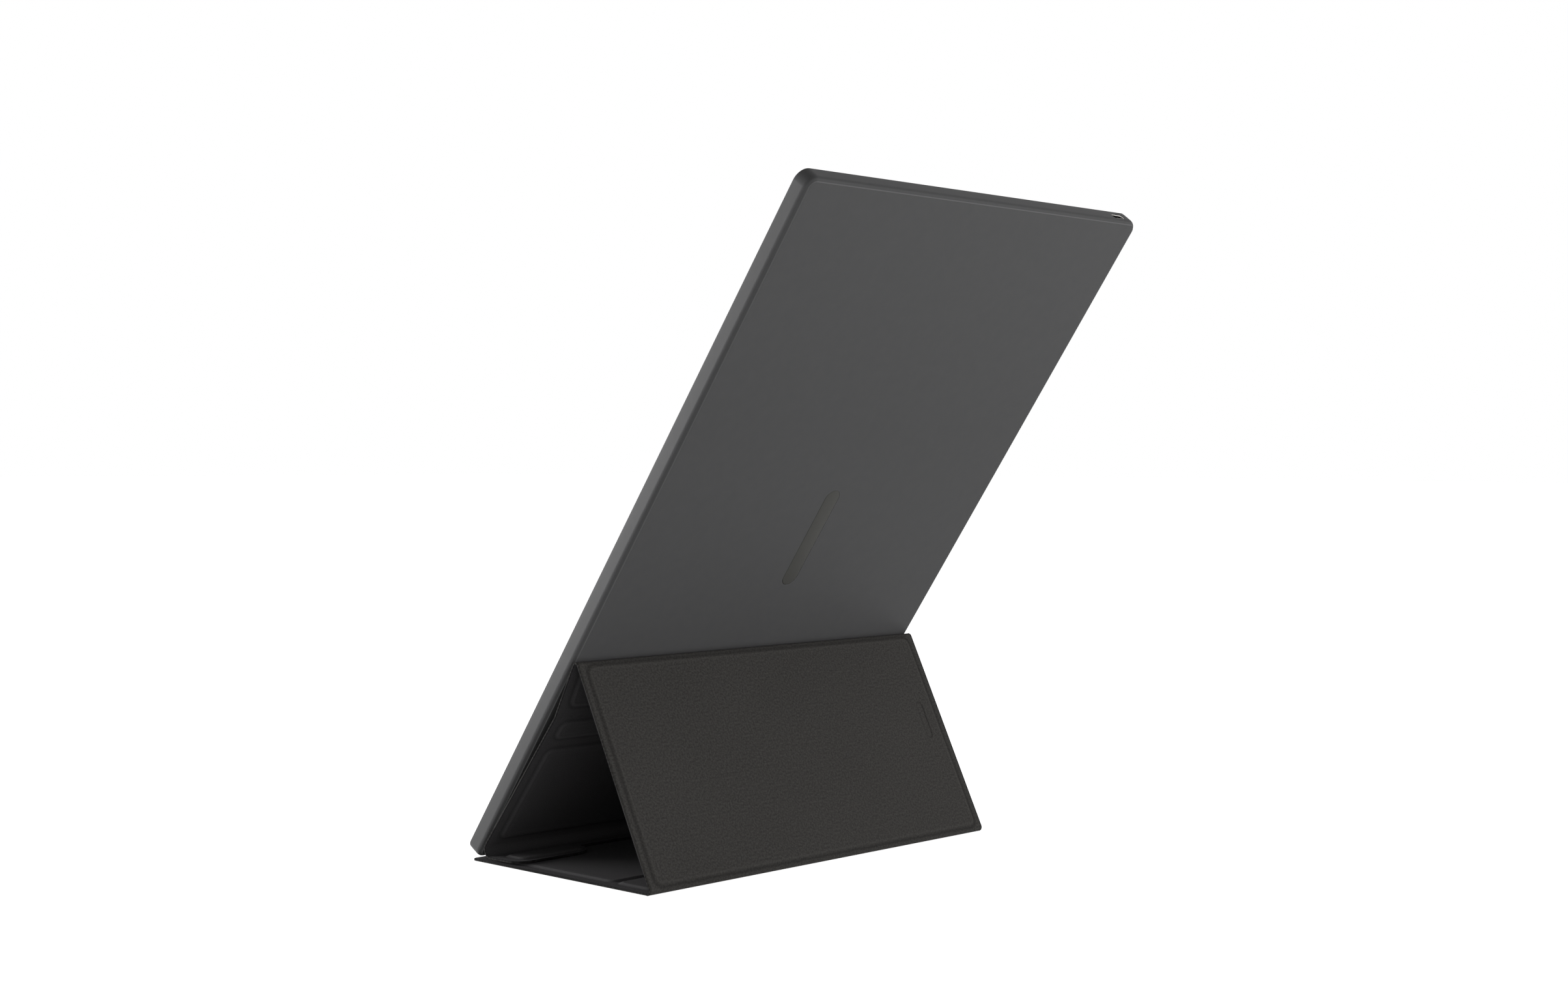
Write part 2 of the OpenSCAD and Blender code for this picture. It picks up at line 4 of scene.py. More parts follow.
import bmesh
import bpy
import numpy as np
from mathutils import Matrix, Vector


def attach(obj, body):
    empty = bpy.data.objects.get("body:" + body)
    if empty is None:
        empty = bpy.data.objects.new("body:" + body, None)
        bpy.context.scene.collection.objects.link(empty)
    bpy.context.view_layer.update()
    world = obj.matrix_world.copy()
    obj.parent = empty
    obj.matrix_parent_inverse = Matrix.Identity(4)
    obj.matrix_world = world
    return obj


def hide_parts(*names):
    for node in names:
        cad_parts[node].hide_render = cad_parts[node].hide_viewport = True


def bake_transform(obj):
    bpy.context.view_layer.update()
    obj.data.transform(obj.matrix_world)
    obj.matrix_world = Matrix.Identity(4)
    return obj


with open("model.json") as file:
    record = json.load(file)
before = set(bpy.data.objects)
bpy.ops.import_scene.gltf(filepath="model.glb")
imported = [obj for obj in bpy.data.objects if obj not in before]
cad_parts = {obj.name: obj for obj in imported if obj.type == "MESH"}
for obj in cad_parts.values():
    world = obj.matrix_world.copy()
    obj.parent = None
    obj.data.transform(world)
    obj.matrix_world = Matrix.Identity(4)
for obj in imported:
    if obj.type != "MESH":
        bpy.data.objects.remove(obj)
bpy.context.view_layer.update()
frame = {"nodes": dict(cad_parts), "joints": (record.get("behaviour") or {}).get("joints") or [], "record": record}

# All sizes in this script are millimetres; MM turns them into metres.
MM = 0.001

# Camera, fitted to the photograph's edges
CAMERA_AT = (745.386, 730.91, 186.468)
CAMERA_FORWARD = (-0.7283692, -0.6849645, -0.0173767)
CAMERA_UP = (-0.0101482, -0.0145736, 0.9998423)
CAMERA_LENS = 50.296
SENSOR_WIDTH = 36.0

# Monitor body
MON_W = 226.4
MON_L = 359.7
MON_T = 8.0
MON_R = 7.0
FOOT_R = 4.5
PLATE_INSET = 2.1
FLOOR_T = 1.4
WALL_T = 3.2
BEZEL_T = 1.2
BEZEL_W = MON_T - BEZEL_T
RIM_T = 1.2
INLAY_L = 54.0
INLAY_W = 9.0
INLAY_T = 0.3
FOOT_Y = -56.4
FOOT_Z = 1.1

# Posts for the button board, and screw holes, as (x, v) places on the monitor
POST_R = 2.0
POST_TOP = 3.8
SCREW_R = 0.8
POST_PLACES = [(-103.45, 21.0), (-103.45, 69.0)]
SCREW_PLACES = [(x, v) for x in (-106.0, -66.0) for v in (270.02, 338.1)]

# USB-C port in the upper end
PORT_X = -MON_W / 2 + 13.0
PORT_W = 4.0
PORT_MOUTH = MON_L - 0.3
PORT_DEPTH = 7.35
PORT_LONG = 8.94
PORT_HIGH = 3.2
PORT_WALL = 0.3

# Cover
COVER_W = MON_W - 0.4
BASE_L = 119.0
RELIEF = 0.3
SKIN_T = 0.5
LINING_T = 0.5
BOND_T = SKIN_T + LINING_T
BOARD_T = 1.0
RIDGE_V = 115.0
UPPER_RUN = 27.0
SPINE_RUN = 15.0
CREASE_UP_B = 4.1
CREASE_LOW_B = 3.4
FOLD_R = 2.0
CURL_R = 4.2
FLAP_L = 20.0
FLAP_CORNER = 8.0
NOTCH_X = 64.0
NOTCH_Y = 6.0
BASE_CORNER = 2.5
BASE_SEAM = 29.0
MARGIN = 6.5
FOLD_MARGIN = 4.0
BOARD_R = 3.0
CREASE_R = 3.0


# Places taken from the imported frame
joints = {joint["name"]: joint for joint in frame["joints"]}


def joint_centre(name):
    return np.array(joints[name]["pos_m"][1:]) / MM


lift_axis = joints["monitor_lift"]["axis"]
LEAN = math.atan2(-lift_axis[1], lift_axis[2])
rear_c = joint_centre("rear_fold_hinge")
ridge_c = joint_centre("ridge_hinge")
curl_c = joint_centre("curl_hinge")


def behind(v, b):
    """Place [y, z] at height v up the monitor's back and distance b behind it."""
    along = np.array([math.cos(LEAN), math.sin(LEAN)])
    away = np.array([math.sin(LEAN), -math.cos(LEAN)])
    return np.array([FOOT_Y, FOOT_Z]) + v * along + b * away


def on_monitor(points):
    """Turns (x, v, w) points of the monitor into row points; w runs from the back face to the screen."""
    p = np.asarray(points, float)
    y = FOOT_Y + p[:, 1] * math.cos(LEAN) - p[:, 2] * math.sin(LEAN)
    z = FOOT_Z + p[:, 1] * math.sin(LEAN) + p[:, 2] * math.cos(LEAN)
    return np.stack([p[:, 0], y, z], axis=1)


# Shares and limits that the materials have in common
DRIFT_SHARE = 0.04
FINE_SHARE = 0.6
TONE_LOW = 0.35
TONE_HIGH = 0.65
GRAIN_BUMP = 0.35
LINE_BUMP = 0.3
FAINT_BUMP = 0.2
PEBBLE_BUMP = 0.6
ROUGH_SPREAD = 0.08


# Materials
def new_material(name):
    material = bpy.data.materials.new(name)
    material.use_nodes = True
    tree = material.node_tree
    return material, tree, tree.nodes["Principled BSDF"]


def node(tree, kind, **inputs):
    """Adds a node and sets its inputs by name, with underscores for spaces."""
    made = tree.nodes.new(kind)
    for key, value in inputs.items():
        made.inputs[key.replace("_", " ")].default_value = value
    return made


def ramp(tree, source, stops):
    made = tree.nodes.new("ShaderNodeValToRGB")
    elements = made.color_ramp.elements
    while len(elements) < len(stops):
        elements.new(0.5)
    for element, (place, colour) in zip(elements, stops):
        element.position = place
        element.color = (*colour, 1.0)
    tree.links.new(source, made.inputs["Fac"])
    return made.outputs["Color"]


def value_range(tree, source, low, high):
    made = node(tree, "ShaderNodeMapRange", To_Min=low, To_Max=high)
    tree.links.new(source, made.inputs["Value"])
    return made.outputs["Result"]


def vary_roughness(tree, shader, source, middle, spread):
    rough = value_range(tree, source, middle - spread, middle + spread)
    tree.links.new(rough, shader.inputs["Roughness"])


def bump(tree, shader, height, strength, distance):
    made = node(tree, "ShaderNodeBump", Strength=strength, Distance=distance)
    tree.links.new(height, made.inputs["Height"])
    tree.links.new(made.outputs["Normal"], shader.inputs["Normal"])


def coordinates(tree, uv):
    source = tree.nodes.new("ShaderNodeTexCoord")
    return source.outputs["UV" if uv else "Object"]


def noise(tree, place, scale, detail=4.0, roughness=0.5):
    made = node(tree, "ShaderNodeTexNoise", Scale=scale, Detail=detail, Roughness=roughness)
    tree.links.new(place, made.inputs["Vector"])
    return made.outputs["Fac"]


def mix_value(tree, a, b, factor):
    made = tree.nodes.new("ShaderNodeMix")
    made.inputs["Factor"].default_value = factor
    tree.links.new(a, made.inputs["A"])
    tree.links.new(b, made.inputs["B"])
    return made.outputs["Result"]


def plain_material(name, dark, light, roughness, grain, depth, metallic=0.0, spread=0.06, specular=0.5,
                   edge_tone=None):
    """A surface whose colour drifts between two tones over a fine grain of bumps."""
    material, tree, shader = new_material(name)
    place = coordinates(tree, False)
    drift = noise(tree, place, grain * DRIFT_SHARE)
    fine = noise(tree, place, grain)
    shader.inputs["Metallic"].default_value = metallic
    shader.inputs["Specular IOR Level"].default_value = specular
    tone = mix_value(tree, drift, fine, FINE_SHARE)
    base = ramp(tree, tone, [(TONE_LOW, dark), (TONE_HIGH, light)])
    # Where the mesh's edge attribute is set, the edge tone is a painted highlight
    if edge_tone:
        base = toned(tree, base, "edge", edge_tone)
    tree.links.new(base, shader.inputs["Base Color"])
    vary_roughness(tree, shader, fine, roughness, spread)
    bump(tree, shader, fine, GRAIN_BUMP, depth)
    return material


def toned(tree, colour, attribute, tone):
    """Mixes in another tone where the mesh's attribute asks for it."""
    source = tree.nodes.new("ShaderNodeAttribute")
    source.attribute_name = attribute
    mixed = tree.nodes.new("ShaderNodeMix")
    mixed.data_type = "RGBA"
    tree.links.new(source.outputs["Fac"], mixed.inputs["Factor"])
    tree.links.new(colour, mixed.inputs[6])
    mixed.inputs[7].default_value = (*tone, 1.0)
    return mixed.outputs[2]


# Brushed lines: how often the pattern changes along X and across it, per metre
BRUSH_STRETCH = (60.0, 2600.0, 2600.0)
BRUSH_CLOUD = 45.0
UNLIT_METAL = (0.012, 0.012, 0.012)


def brushed_material(name, dark, light, roughness):
    """Bare metal with fine lines drawn along X, darker where the mesh's shade attribute asks for it."""
    material, tree, shader = new_material(name)
    place = coordinates(tree, False)
    stretch = node(tree, "ShaderNodeMapping", Scale=BRUSH_STRETCH)
    tree.links.new(place, stretch.inputs["Vector"])
    lines = noise(tree, stretch.outputs["Vector"], 1.0, 3.0)
    cloud = noise(tree, place, BRUSH_CLOUD, 2.0)
    tone = mix_value(tree, lines, cloud, 0.3)
    base = ramp(tree, tone, [(TONE_LOW, dark), (TONE_HIGH, light)])
    tree.links.new(toned(tree, base, "shade", UNLIT_METAL), shader.inputs["Base Color"])
    vary_roughness(tree, shader, lines, roughness, ROUGH_SPREAD)
    shader.inputs["Metallic"].default_value = 1.0
    bump(tree, shader, lines, LINE_BUMP, 0.000004)
    return material


# Circuit board: cells per metre, and where in a cell its pad ends and its trace runs
TRACE_CELLS = 520.0
PAD_END = 0.1
TRACE_START = 0.42
TRACE_END = 0.5
TRACE_EDGE = 0.02


def traced_material(name, mask, trace, pad, roughness):
    """Solder mask over square-cornered copper traces, with small bare pads."""
    material, tree, shader = new_material(name)
    place = coordinates(tree, False)
    cells = node(tree, "ShaderNodeTexVoronoi", Scale=TRACE_CELLS, Randomness=0.75)
    cells.distance = "CHEBYCHEV"
    tree.links.new(place, cells.inputs["Vector"])
    stops = [(0.0, pad), (PAD_END, pad), (PAD_END + TRACE_EDGE, mask), (TRACE_START - TRACE_EDGE, mask),
             (TRACE_START, trace), (TRACE_END, trace), (TRACE_END + TRACE_EDGE, mask)]
    tree.links.new(ramp(tree, cells.outputs["Distance"], stops), shader.inputs["Base Color"])
    vary_roughness(tree, shader, noise(tree, place, 60.0, 2.0), roughness, 0.06)
    bump(tree, shader, cells.outputs["Distance"], FAINT_BUMP, 0.00002)
    return material


def striped_material(name, dark, light, pitch, roughness):
    """Narrow lines along one way, as in flat cable or lensed film; pitch in metres."""
    material, tree, shader = new_material(name)
    place = coordinates(tree, False)
    lines = node(tree, "ShaderNodeTexWave", Scale=math.pi / 10 / pitch)
    tree.links.new(place, lines.inputs["Vector"])
    cloud = noise(tree, place, 90.0, 2.0)
    tone = mix_value(tree, lines.outputs["Fac"], cloud, 0.25)
    tree.links.new(ramp(tree, tone, [(0.4, dark), (0.6, light)]), shader.inputs["Base Color"])
    vary_roughness(tree, shader, cloud, roughness, 0.05)
    bump(tree, shader, lines.outputs["Fac"], 0.4, 0.00003)
    return material


# Leather and lining: sizes of the finer patterns as shares of the pebble's, and where the tones part
FINE_PEBBLE = 2.1
SPECKLE_PEBBLE = 0.8
HIDE_DRIFT = 14.0
SPECKLE_LOW = 0.39
SPECKLE_HIGH = 0.61
# Share of the dark tone that the shade attribute mixes in: painted shade in channels and round the oblong, darker
# pressed lines and cut edges
SHADE_SHARE = 0.2


def leather_material(name, dark, light, pebble, depth, roughness, specular, edge_tone):
    """Pebbled hide: rounded cells of two sizes, a speckle in each, lighter rubbed edges on the leather, a painted
    highlight along the lining's board lines, and darker where the mesh's shade attribute asks for it.
    """
    material, tree, shader = new_material(name)
    place = coordinates(tree, True)
    cells = node(tree, "ShaderNodeTexVoronoi", Scale=pebble, Randomness=1.0)
    cells.feature = "SMOOTH_F1"
    tree.links.new(place, cells.inputs["Vector"])
    fine = noise(tree, place, pebble * FINE_PEBBLE, 2.0)
    height = mix_value(tree, cells.outputs["Distance"], fine, 0.4)
    speckle = noise(tree, place, pebble * SPECKLE_PEBBLE, 3.0, 0.7)
    tone = mix_value(tree, speckle, noise(tree, place, HIDE_DRIFT, 2.0), 0.08)
    base = ramp(tree, tone, [(SPECKLE_LOW, dark), (SPECKLE_HIGH, light)])
    # Lighter tone: rubbed edges on the leather, a painted highlight along the lining's board lines
    worn_and_highlighted = toned(tree, base, "wear_and_highlight", edge_tone)
    # Darker tone where the shade attribute asks: painted shade in channels and round the oblong, darker pressed
    # lines and cut edges
    shaded = toned(tree, worn_and_highlighted, "shade", tuple(SHADE_SHARE * value for value in dark))
    tree.links.new(shaded, shader.inputs["Base Color"])
    vary_roughness(tree, shader, fine, roughness, ROUGH_SPREAD)
    shader.inputs["Specular IOR Level"].default_value = specular
    bump(tree, shader, height, PEBBLE_BUMP, depth)
    return material


# Finishes: grain and pebble are patterns per metre, depth is the height of their bumps in metres
PLAIN_FINISHES = {
    # case_metal's edge_tone is a painted highlight on the back plate's fine bevel
    "case_metal": dict(dark=(0.095, 0.095, 0.0965), light=(0.102, 0.102, 0.1035), roughness=0.5, grain=5000.0,
                       depth=0.000012, metallic=0.05, specular=0.06, edge_tone=(0.16, 0.16, 0.162)),
    "inlay": dict(dark=(0.056, 0.055, 0.05), light=(0.062, 0.061, 0.055), roughness=0.4, grain=4000.0,
                  depth=0.000004, specular=0.15),
    "bezel": dict(dark=(0.012, 0.012, 0.013), light=(0.016, 0.016, 0.018), roughness=0.5, grain=5000.0,
                  depth=0.00001),
    "screen": dict(dark=(0.006, 0.006, 0.007), light=(0.008, 0.008, 0.009), roughness=0.3, grain=9000.0,
                   depth=0.000002),
    "dark_plastic": dict(dark=(0.015, 0.015, 0.016), light=(0.022, 0.022, 0.024), roughness=0.5, grain=4000.0,
                         depth=0.00001),
    "clear_plastic": dict(dark=(0.6, 0.66, 0.68), light=(0.7, 0.76, 0.78), roughness=0.15, grain=2000.0,
                          depth=0.000002),
    "soft_pad": dict(dark=(0.3, 0.34, 0.42), light=(0.36, 0.4, 0.48), roughness=0.8, grain=2500.0,
                     depth=0.00002),
    "button": dict(dark=(0.014, 0.014, 0.015), light=(0.02, 0.02, 0.022), roughness=0.4, grain=5000.0,
                   depth=0.000006),
    "card": dict(dark=(0.2, 0.15, 0.1), light=(0.27, 0.21, 0.14), roughness=0.85, grain=1200.0,
                 depth=0.00004),
}
LEATHER_FINISHES = {
    "leather": dict(dark=(0.044, 0.042, 0.0396), light=(0.078, 0.0745, 0.0703), pebble=1300.0, depth=0.00018,
                    roughness=0.7, specular=0.05, edge_tone=(0.1, 0.096, 0.09)),
    # The lining's edge_tone is a painted highlight along its board lines
    "lining": dict(dark=(0.06, 0.0583, 0.06), light=(0.083, 0.0808, 0.083), pebble=2600.0, depth=0.00003,
                   roughness=0.8, specular=0.05, edge_tone=(0.12, 0.118, 0.12)),
}
BRUSHED_FINISHES = {
    "steel": dict(dark=(0.5, 0.49, 0.47), light=(0.62, 0.6, 0.58), roughness=0.27),
    "magnet": dict(dark=(0.45, 0.45, 0.46), light=(0.55, 0.55, 0.56), roughness=0.2),
}
STRIPED_FINISHES = {
    "film": dict(dark=(0.68, 0.69, 0.71), light=(0.78, 0.79, 0.8), pitch=0.0003, roughness=0.4),
    "flat_cable": dict(dark=(0.3, 0.13, 0.02), light=(0.5, 0.25, 0.06), pitch=0.0005, roughness=0.35),
}
BOARD_FINISH = dict(mask=(0.01, 0.075, 0.036), trace=(0.02, 0.13, 0.065), pad=(0.6, 0.45, 0.2),
                    roughness=0.36)


def make_materials():
    made = {"circuit_board": traced_material("circuit_board", **BOARD_FINISH)}
    for make, finishes in ((plain_material, PLAIN_FINISHES), (leather_material, LEATHER_FINISHES),
                           (brushed_material, BRUSHED_FINISHES), (striped_material, STRIPED_FINISHES)):
        made.update({name: make(name, **finish) for name, finish in finishes.items()})
    return made


materials = make_materials()
slots = {part["node"]: part["material_slot"] for part in frame["record"]["subparts"]}


def dress_nodes():
    for name, slot in slots.items():
        mesh = frame["nodes"][name].data
        mesh.materials.clear()
        mesh.materials.append(materials[slot])


dress_nodes()


# Mesh helpers: the angle past which an edge stays sharp, and how near points are joined, in metres
SHARP_ANGLE = 30.0
MERGE_REACH = 0.000002


def add_object(name, points, faces, material, smooth_angle=35.0):
    mesh = bpy.data.meshes.new(name)
    mesh.from_pydata([tuple(p) for p in np.asarray(points) * MM], [], faces)
    mesh.validate()
    mesh.shade_smooth()
    mesh.set_sharp_from_angle(angle=math.radians(smooth_angle))
    mesh.materials.append(materials[material])
    made = bpy.data.objects.new(name, mesh)
    bpy.context.scene.collection.objects.link(made)
    return made


def finished(piece):
    """Turns a piece and its modifiers into one plain mesh."""
    graph = bpy.context.evaluated_depsgraph_get()
    mesh = bpy.data.meshes.new_from_object(piece.evaluated_get(graph))
    old = piece.data
    piece.modifiers.clear()
    piece.data = mesh
    bpy.data.meshes.remove(old)
    return piece


def even_normals(piece):
    """Lets the large flat faces set the shading beside small bevels."""
    modifier = piece.modifiers.new("normals", "WEIGHTED_NORMAL")
    modifier.keep_sharp = True


def boolean(piece, cutter, operation):
    modifier = piece.modifiers.new(cutter.name, "BOOLEAN")
    modifier.operation = operation
    modifier.solver = "EXACT"
    modifier.object = cutter


def drop(piece):
    mesh = piece.data
    bpy.data.objects.remove(piece)
    bpy.data.meshes.remove(mesh)


def placed(piece, body, slot, *nodes):
    """Gives a finished piece its body and hides the CAD nodes that it stands for; slot is not used."""
    if nodes:
        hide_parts(*nodes)
    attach(piece, body)
    return piece


def merged_copy(name, node_name):
    """A copy of a CAD node with its loose triangles joined into whole faces."""
    source = frame["nodes"][node_name]
    bm = bmesh.new()
    bm.from_mesh(source.data)
    bm.transform(source.matrix_world)
    bmesh.ops.remove_doubles(bm, verts=bm.verts, dist=MERGE_REACH)
    bmesh.ops.dissolve_limit(bm, angle_limit=math.radians(1.0), verts=bm.verts, edges=bm.edges)
    mesh = bpy.data.meshes.new(name)
    bm.to_mesh(mesh)
    bm.free()
    mesh.shade_smooth()
    mesh.set_sharp_from_angle(angle=math.radians(SHARP_ANGLE))
    made = bpy.data.objects.new(name, mesh)
    bpy.context.scene.collection.objects.link(made)
    return made


def softened(node_name, body, width, segments=2):
    """A CAD node's shape with rounded edges, standing for that node."""
    slot = slots[node_name]
    made = merged_copy(f"{node_name}_made", node_name)
    made.data.materials.append(materials[slot])
    bevel = made.modifiers.new("bevel", "BEVEL")
    bevel.width = width * MM
    bevel.segments = segments
    bevel.limit_method = "ANGLE"
    bevel.angle_limit = math.radians(SHARP_ANGLE)
    bevel.harden_normals = True
    return placed(finished(made), body, slot, node_name)


# The cover's fold line, seen from its end: straight panels and round folds. s is the distance along
# the outer face of the folds, n the distance outwards from it.
def arc_span(centre, radius, a0, a1):
    return {"centre": centre, "radius": radius, "a0": a0, "a1": a1, "length": radius * abs(a1 - a0)}


def line_span(start, heading, length):
    return {"start": start, "heading": heading, "length": length}


def heading_of(p, q):
    return math.atan2(q[1] - p[1], q[0] - p[0]) % (2 * math.pi)


def along_of(heading):
    return np.array([math.cos(heading), math.sin(heading)])


def outward_of(heading):
    return np.array([math.sin(heading), -math.cos(heading)])


def fold_line():
    """The spans from the base's front edge to the flap's free edge, and where each panel starts."""
    crease_up = behind(RIDGE_V - UPPER_RUN, CREASE_UP_B)
    crease_low = behind(RIDGE_V - UPPER_RUN - SPINE_RUN, CREASE_LOW_B)
    rear_h = heading_of(rear_c, ridge_c)
    rear_l = np.linalg.norm(ridge_c - rear_c)
    upper_d = np.linalg.norm(crease_up - ridge_c)
    upper_h = heading_of(ridge_c, crease_up) + math.asin(FOLD_R / upper_d)
    upper_l = math.sqrt(upper_d ** 2 - FOLD_R ** 2)
    spine_h = heading_of(crease_up, crease_low)
    spine_l = np.linalg.norm(crease_low - crease_up)
    front_d = np.linalg.norm(curl_c - crease_low)
    front_h = heading_of(crease_low, curl_c) - math.asin(CURL_R / front_d)
    front_l = math.sqrt(front_d ** 2 - CURL_R ** 2)
    quarter = math.pi / 2
    cut = CREASE_R * math.tan((upper_h - spine_h) / 2)
    crease_c = crease_up - cut * along_of(upper_h) + CREASE_R * outward_of(upper_h)
    spans = [
        line_span(np.array([-BASE_L / 2, RELIEF]), 0.0, rear_c[0] + BASE_L / 2),
        arc_span(rear_c, FOLD_R, -quarter, rear_h - quarter),
        line_span(rear_c + FOLD_R * outward_of(rear_h), rear_h, rear_l),
        arc_span(ridge_c, FOLD_R, rear_h - quarter, upper_h - quarter),
        line_span(ridge_c + FOLD_R * outward_of(upper_h), upper_h, upper_l - cut),
        arc_span(crease_c, -CREASE_R, upper_h + quarter, spine_h + quarter),
        line_span(crease_up + cut * along_of(spine_h), spine_h, spine_l - cut),
        line_span(crease_low, front_h, front_l),
        arc_span(curl_c, CURL_R, front_h - quarter, 3 * quarter),
        line_span(curl_c + CURL_R * np.array([0.0, -1.0]), 2 * math.pi, FLAP_L),
    ]
    names = ["base", "rear_fold", "rear", "ridge", "upper", "crease", "spine", "front", "curl", "flap"]
    starts = np.concatenate([[0.0], np.cumsum([span["length"] for span in spans])])
    return spans, dict(zip(names + ["end"], starts))


spans, at = fold_line()
span_starts = np.array(list(at.values()))


def section_point(s):
    """Place and outward direction of the fold line at distance s."""
    index = min(max(int(np.searchsorted(span_starts, s, side="right")) - 1, 0), len(spans) - 1)
    span = spans[index]
    t = s - span_starts[index]
    if "heading" in span:
        return span["start"] + t * along_of(span["heading"]), outward_of(span["heading"])
    turn = (span["a1"] - span["a0"]) * t / span["length"]
    out = along_of(span["a0"] + turn)
    if span["radius"] < 0:
        return span["centre"] - span["radius"] * out, -out
    return span["centre"] + span["radius"] * out, out


# Boards under the leather: middle x, half width, start and end along the fold line. The rear panel's
# board is pressed out a little wider than the others.
REAR_GROWTH = 1.1
REAR_MARGIN = 1.6
BOARD_X = COVER_W / 2 - MARGIN
TAB_IN = NOTCH_X + MARGIN
TAB_X = (TAB_IN + BOARD_X) / 2
TAB_HALF = (BOARD_X - TAB_IN) / 2
base_split = BASE_SEAM + BASE_L / 2
boards = [
    (0.0, BOARD_X, MARGIN, base_split),
    (0.0, BOARD_X, base_split + FOLD_MARGIN, at["rear_fold"] - FOLD_MARGIN),
    (0.0, BOARD_X + REAR_GROWTH, at["rear"] + REAR_MARGIN, at["ridge"] - REAR_MARGIN),
    (0.0, BOARD_X, at["upper"] + FOLD_MARGIN, at["spine"] - FOLD_MARGIN - 1.5),
    (0.0, BOARD_X, at["spine"] + FOLD_MARGIN - 1, at["front"] - FOLD_MARGIN + 1),
    (0.0, BOARD_X, at["front"] + FOLD_MARGIN + 1, at["curl"] - FOLD_MARGIN),
    (-TAB_X, TAB_HALF, at["flap"] + FOLD_MARGIN, at["end"] - FOLD_MARGIN),
    (TAB_X, TAB_HALF, at["flap"] + FOLD_MARGIN, at["end"] - FOLD_MARGIN),
]


def board_distance(x, s):
    """Distance from the nearest board's rounded outline, negative inside."""
    nearest = np.full(x.shape, 1e3)
    for middle, half, start, end in boards:
        dx = np.abs(x - middle) - half + BOARD_R
        ds = np.abs(s - (start + end) / 2) - (end - start) / 2 + BOARD_R
        outside = np.hypot(np.maximum(dx, 0), np.maximum(ds, 0))
        inside = np.minimum(np.maximum(dx, ds), 0)
        nearest = np.minimum(nearest, outside + inside - BOARD_R)
    return nearest


def smooth_step(low, high, value):
    t = np.clip((value - low) / (high - low), 0, 1)
    return t * t * (3 - 2 * t)


def flap_reach(x):
    """Distance from the curl to the flap's free edge."""
    a = np.abs(x)
    inner = NOTCH_Y + np.sqrt(np.maximum(0, (FLAP_L - NOTCH_Y) ** 2
                                         - np.clip(NOTCH_X + FLAP_L - NOTCH_Y - a, 0, None) ** 2))
    reach = np.where(a < NOTCH_X, NOTCH_Y, np.minimum(inner, FLAP_L))
    corner = COVER_W / 2 - FLAP_CORNER
    cut = FLAP_CORNER - np.sqrt(np.maximum(0, FLAP_CORNER ** 2 - np.clip(a - corner, 0, None) ** 2))
    return np.where(a > corner, FLAP_L - cut, reach)


def base_start(x):
    """How far the base's rounded front corners lie behind its front edge."""
    corner = COVER_W / 2 - BASE_CORNER
    return BASE_CORNER - np.sqrt(np.maximum(0, BASE_CORNER ** 2
                                            - np.clip(np.abs(x) - corner, 0, None) ** 2))


def trimmed(x, s):
    """Moves the grid's end rows onto the cover's real outline."""
    front = base_start(x)
    near_front = s < 4 * BASE_CORNER
    s = np.where(near_front, front + s * (4 * BASE_CORNER - front) / (4 * BASE_CORNER), s)
    t = s - at["flap"]
    return np.where(t > 0, at["flap"] + t * flap_reach(x) / FLAP_L, s)


# Rows and columns of the sheets: their usual step, the finer step and its reach beside a board's
# outline, the nearest that two of these may come, and the counts across a fold and across the crease
SHEET_STEP = 4.0
FINE_STEP = 0.5
FINE_REACH = 4.0
LEAST_STEP = 0.12
FOLD_ROWS = 25
CREASE_ROWS = 5


def graded(low, high, fine_places):
    """Coordinates from low to high, closer together near the given places."""
    values = [low, high]
    values += list(np.linspace(low, high, max(2, int((high - low) / SHEET_STEP) + 1)))
    for place in fine_places:
        near = np.arange(place - FINE_REACH, place + FINE_REACH + FINE_STEP / 2, FINE_STEP)
        values += [v for v in near if low < v < high]
    values = np.unique(np.round(values, 4))
    kept = [values[0]]
    for v in values[1:]:
        if v - kept[-1] > LEAST_STEP:
            kept.append(v)
    kept[-1] = high
    return np.array(kept)


# A plain shallow oblong pressed into the rear panel, near one end
OBLONG_X = -99.0
OBLONG_S = at["rear"] + 57.5
OBLONG_REACH = 7.4
OBLONG_R = 2.1


def oblong_distance(x, s):
    return np.hypot(x - OBLONG_X, np.maximum(np.abs(s - OBLONG_S) - OBLONG_REACH, 0)) - OBLONG_R


# Distances from a free edge and from a notch's corner at which the sheets get a row or column
EDGE_STEPS = [0.12, 0.25, 0.4, 0.55, 0.68, 0.8, 0.92, 1.1, 1.4]
WIDE_STEPS = [2.0, 3.0, 4.2, 5.6, 7.0]
NOTCH_STEPS = [0.05, 0.2, 0.5, 1, 2, 3.5, 5.5, 8, 11, 14]


def free_edge(x, s):
    """Distance from the cover's own free edges."""
    edge = np.minimum(COVER_W / 2 - np.abs(x), s - base_start(x))
    return np.minimum(edge, at["flap"] + flap_reach(x) - s)


def cover_columns():
    edge = COVER_W / 2
    places = [-BOARD_X, BOARD_X, -TAB_IN, TAB_IN, -NOTCH_X, NOTCH_X]
    columns = graded(-edge, edge, places)
    extra = [side * (edge - d) for side in (-1, 1) for d in EDGE_STEPS + WIDE_STEPS]
    extra += [side * (NOTCH_X + d) for side in (-1, 1) for d in NOTCH_STEPS]
    extra += list(OBLONG_X + np.linspace(-3, 3, 21))
    return np.unique(np.round(np.concatenate([columns, extra]), 3))


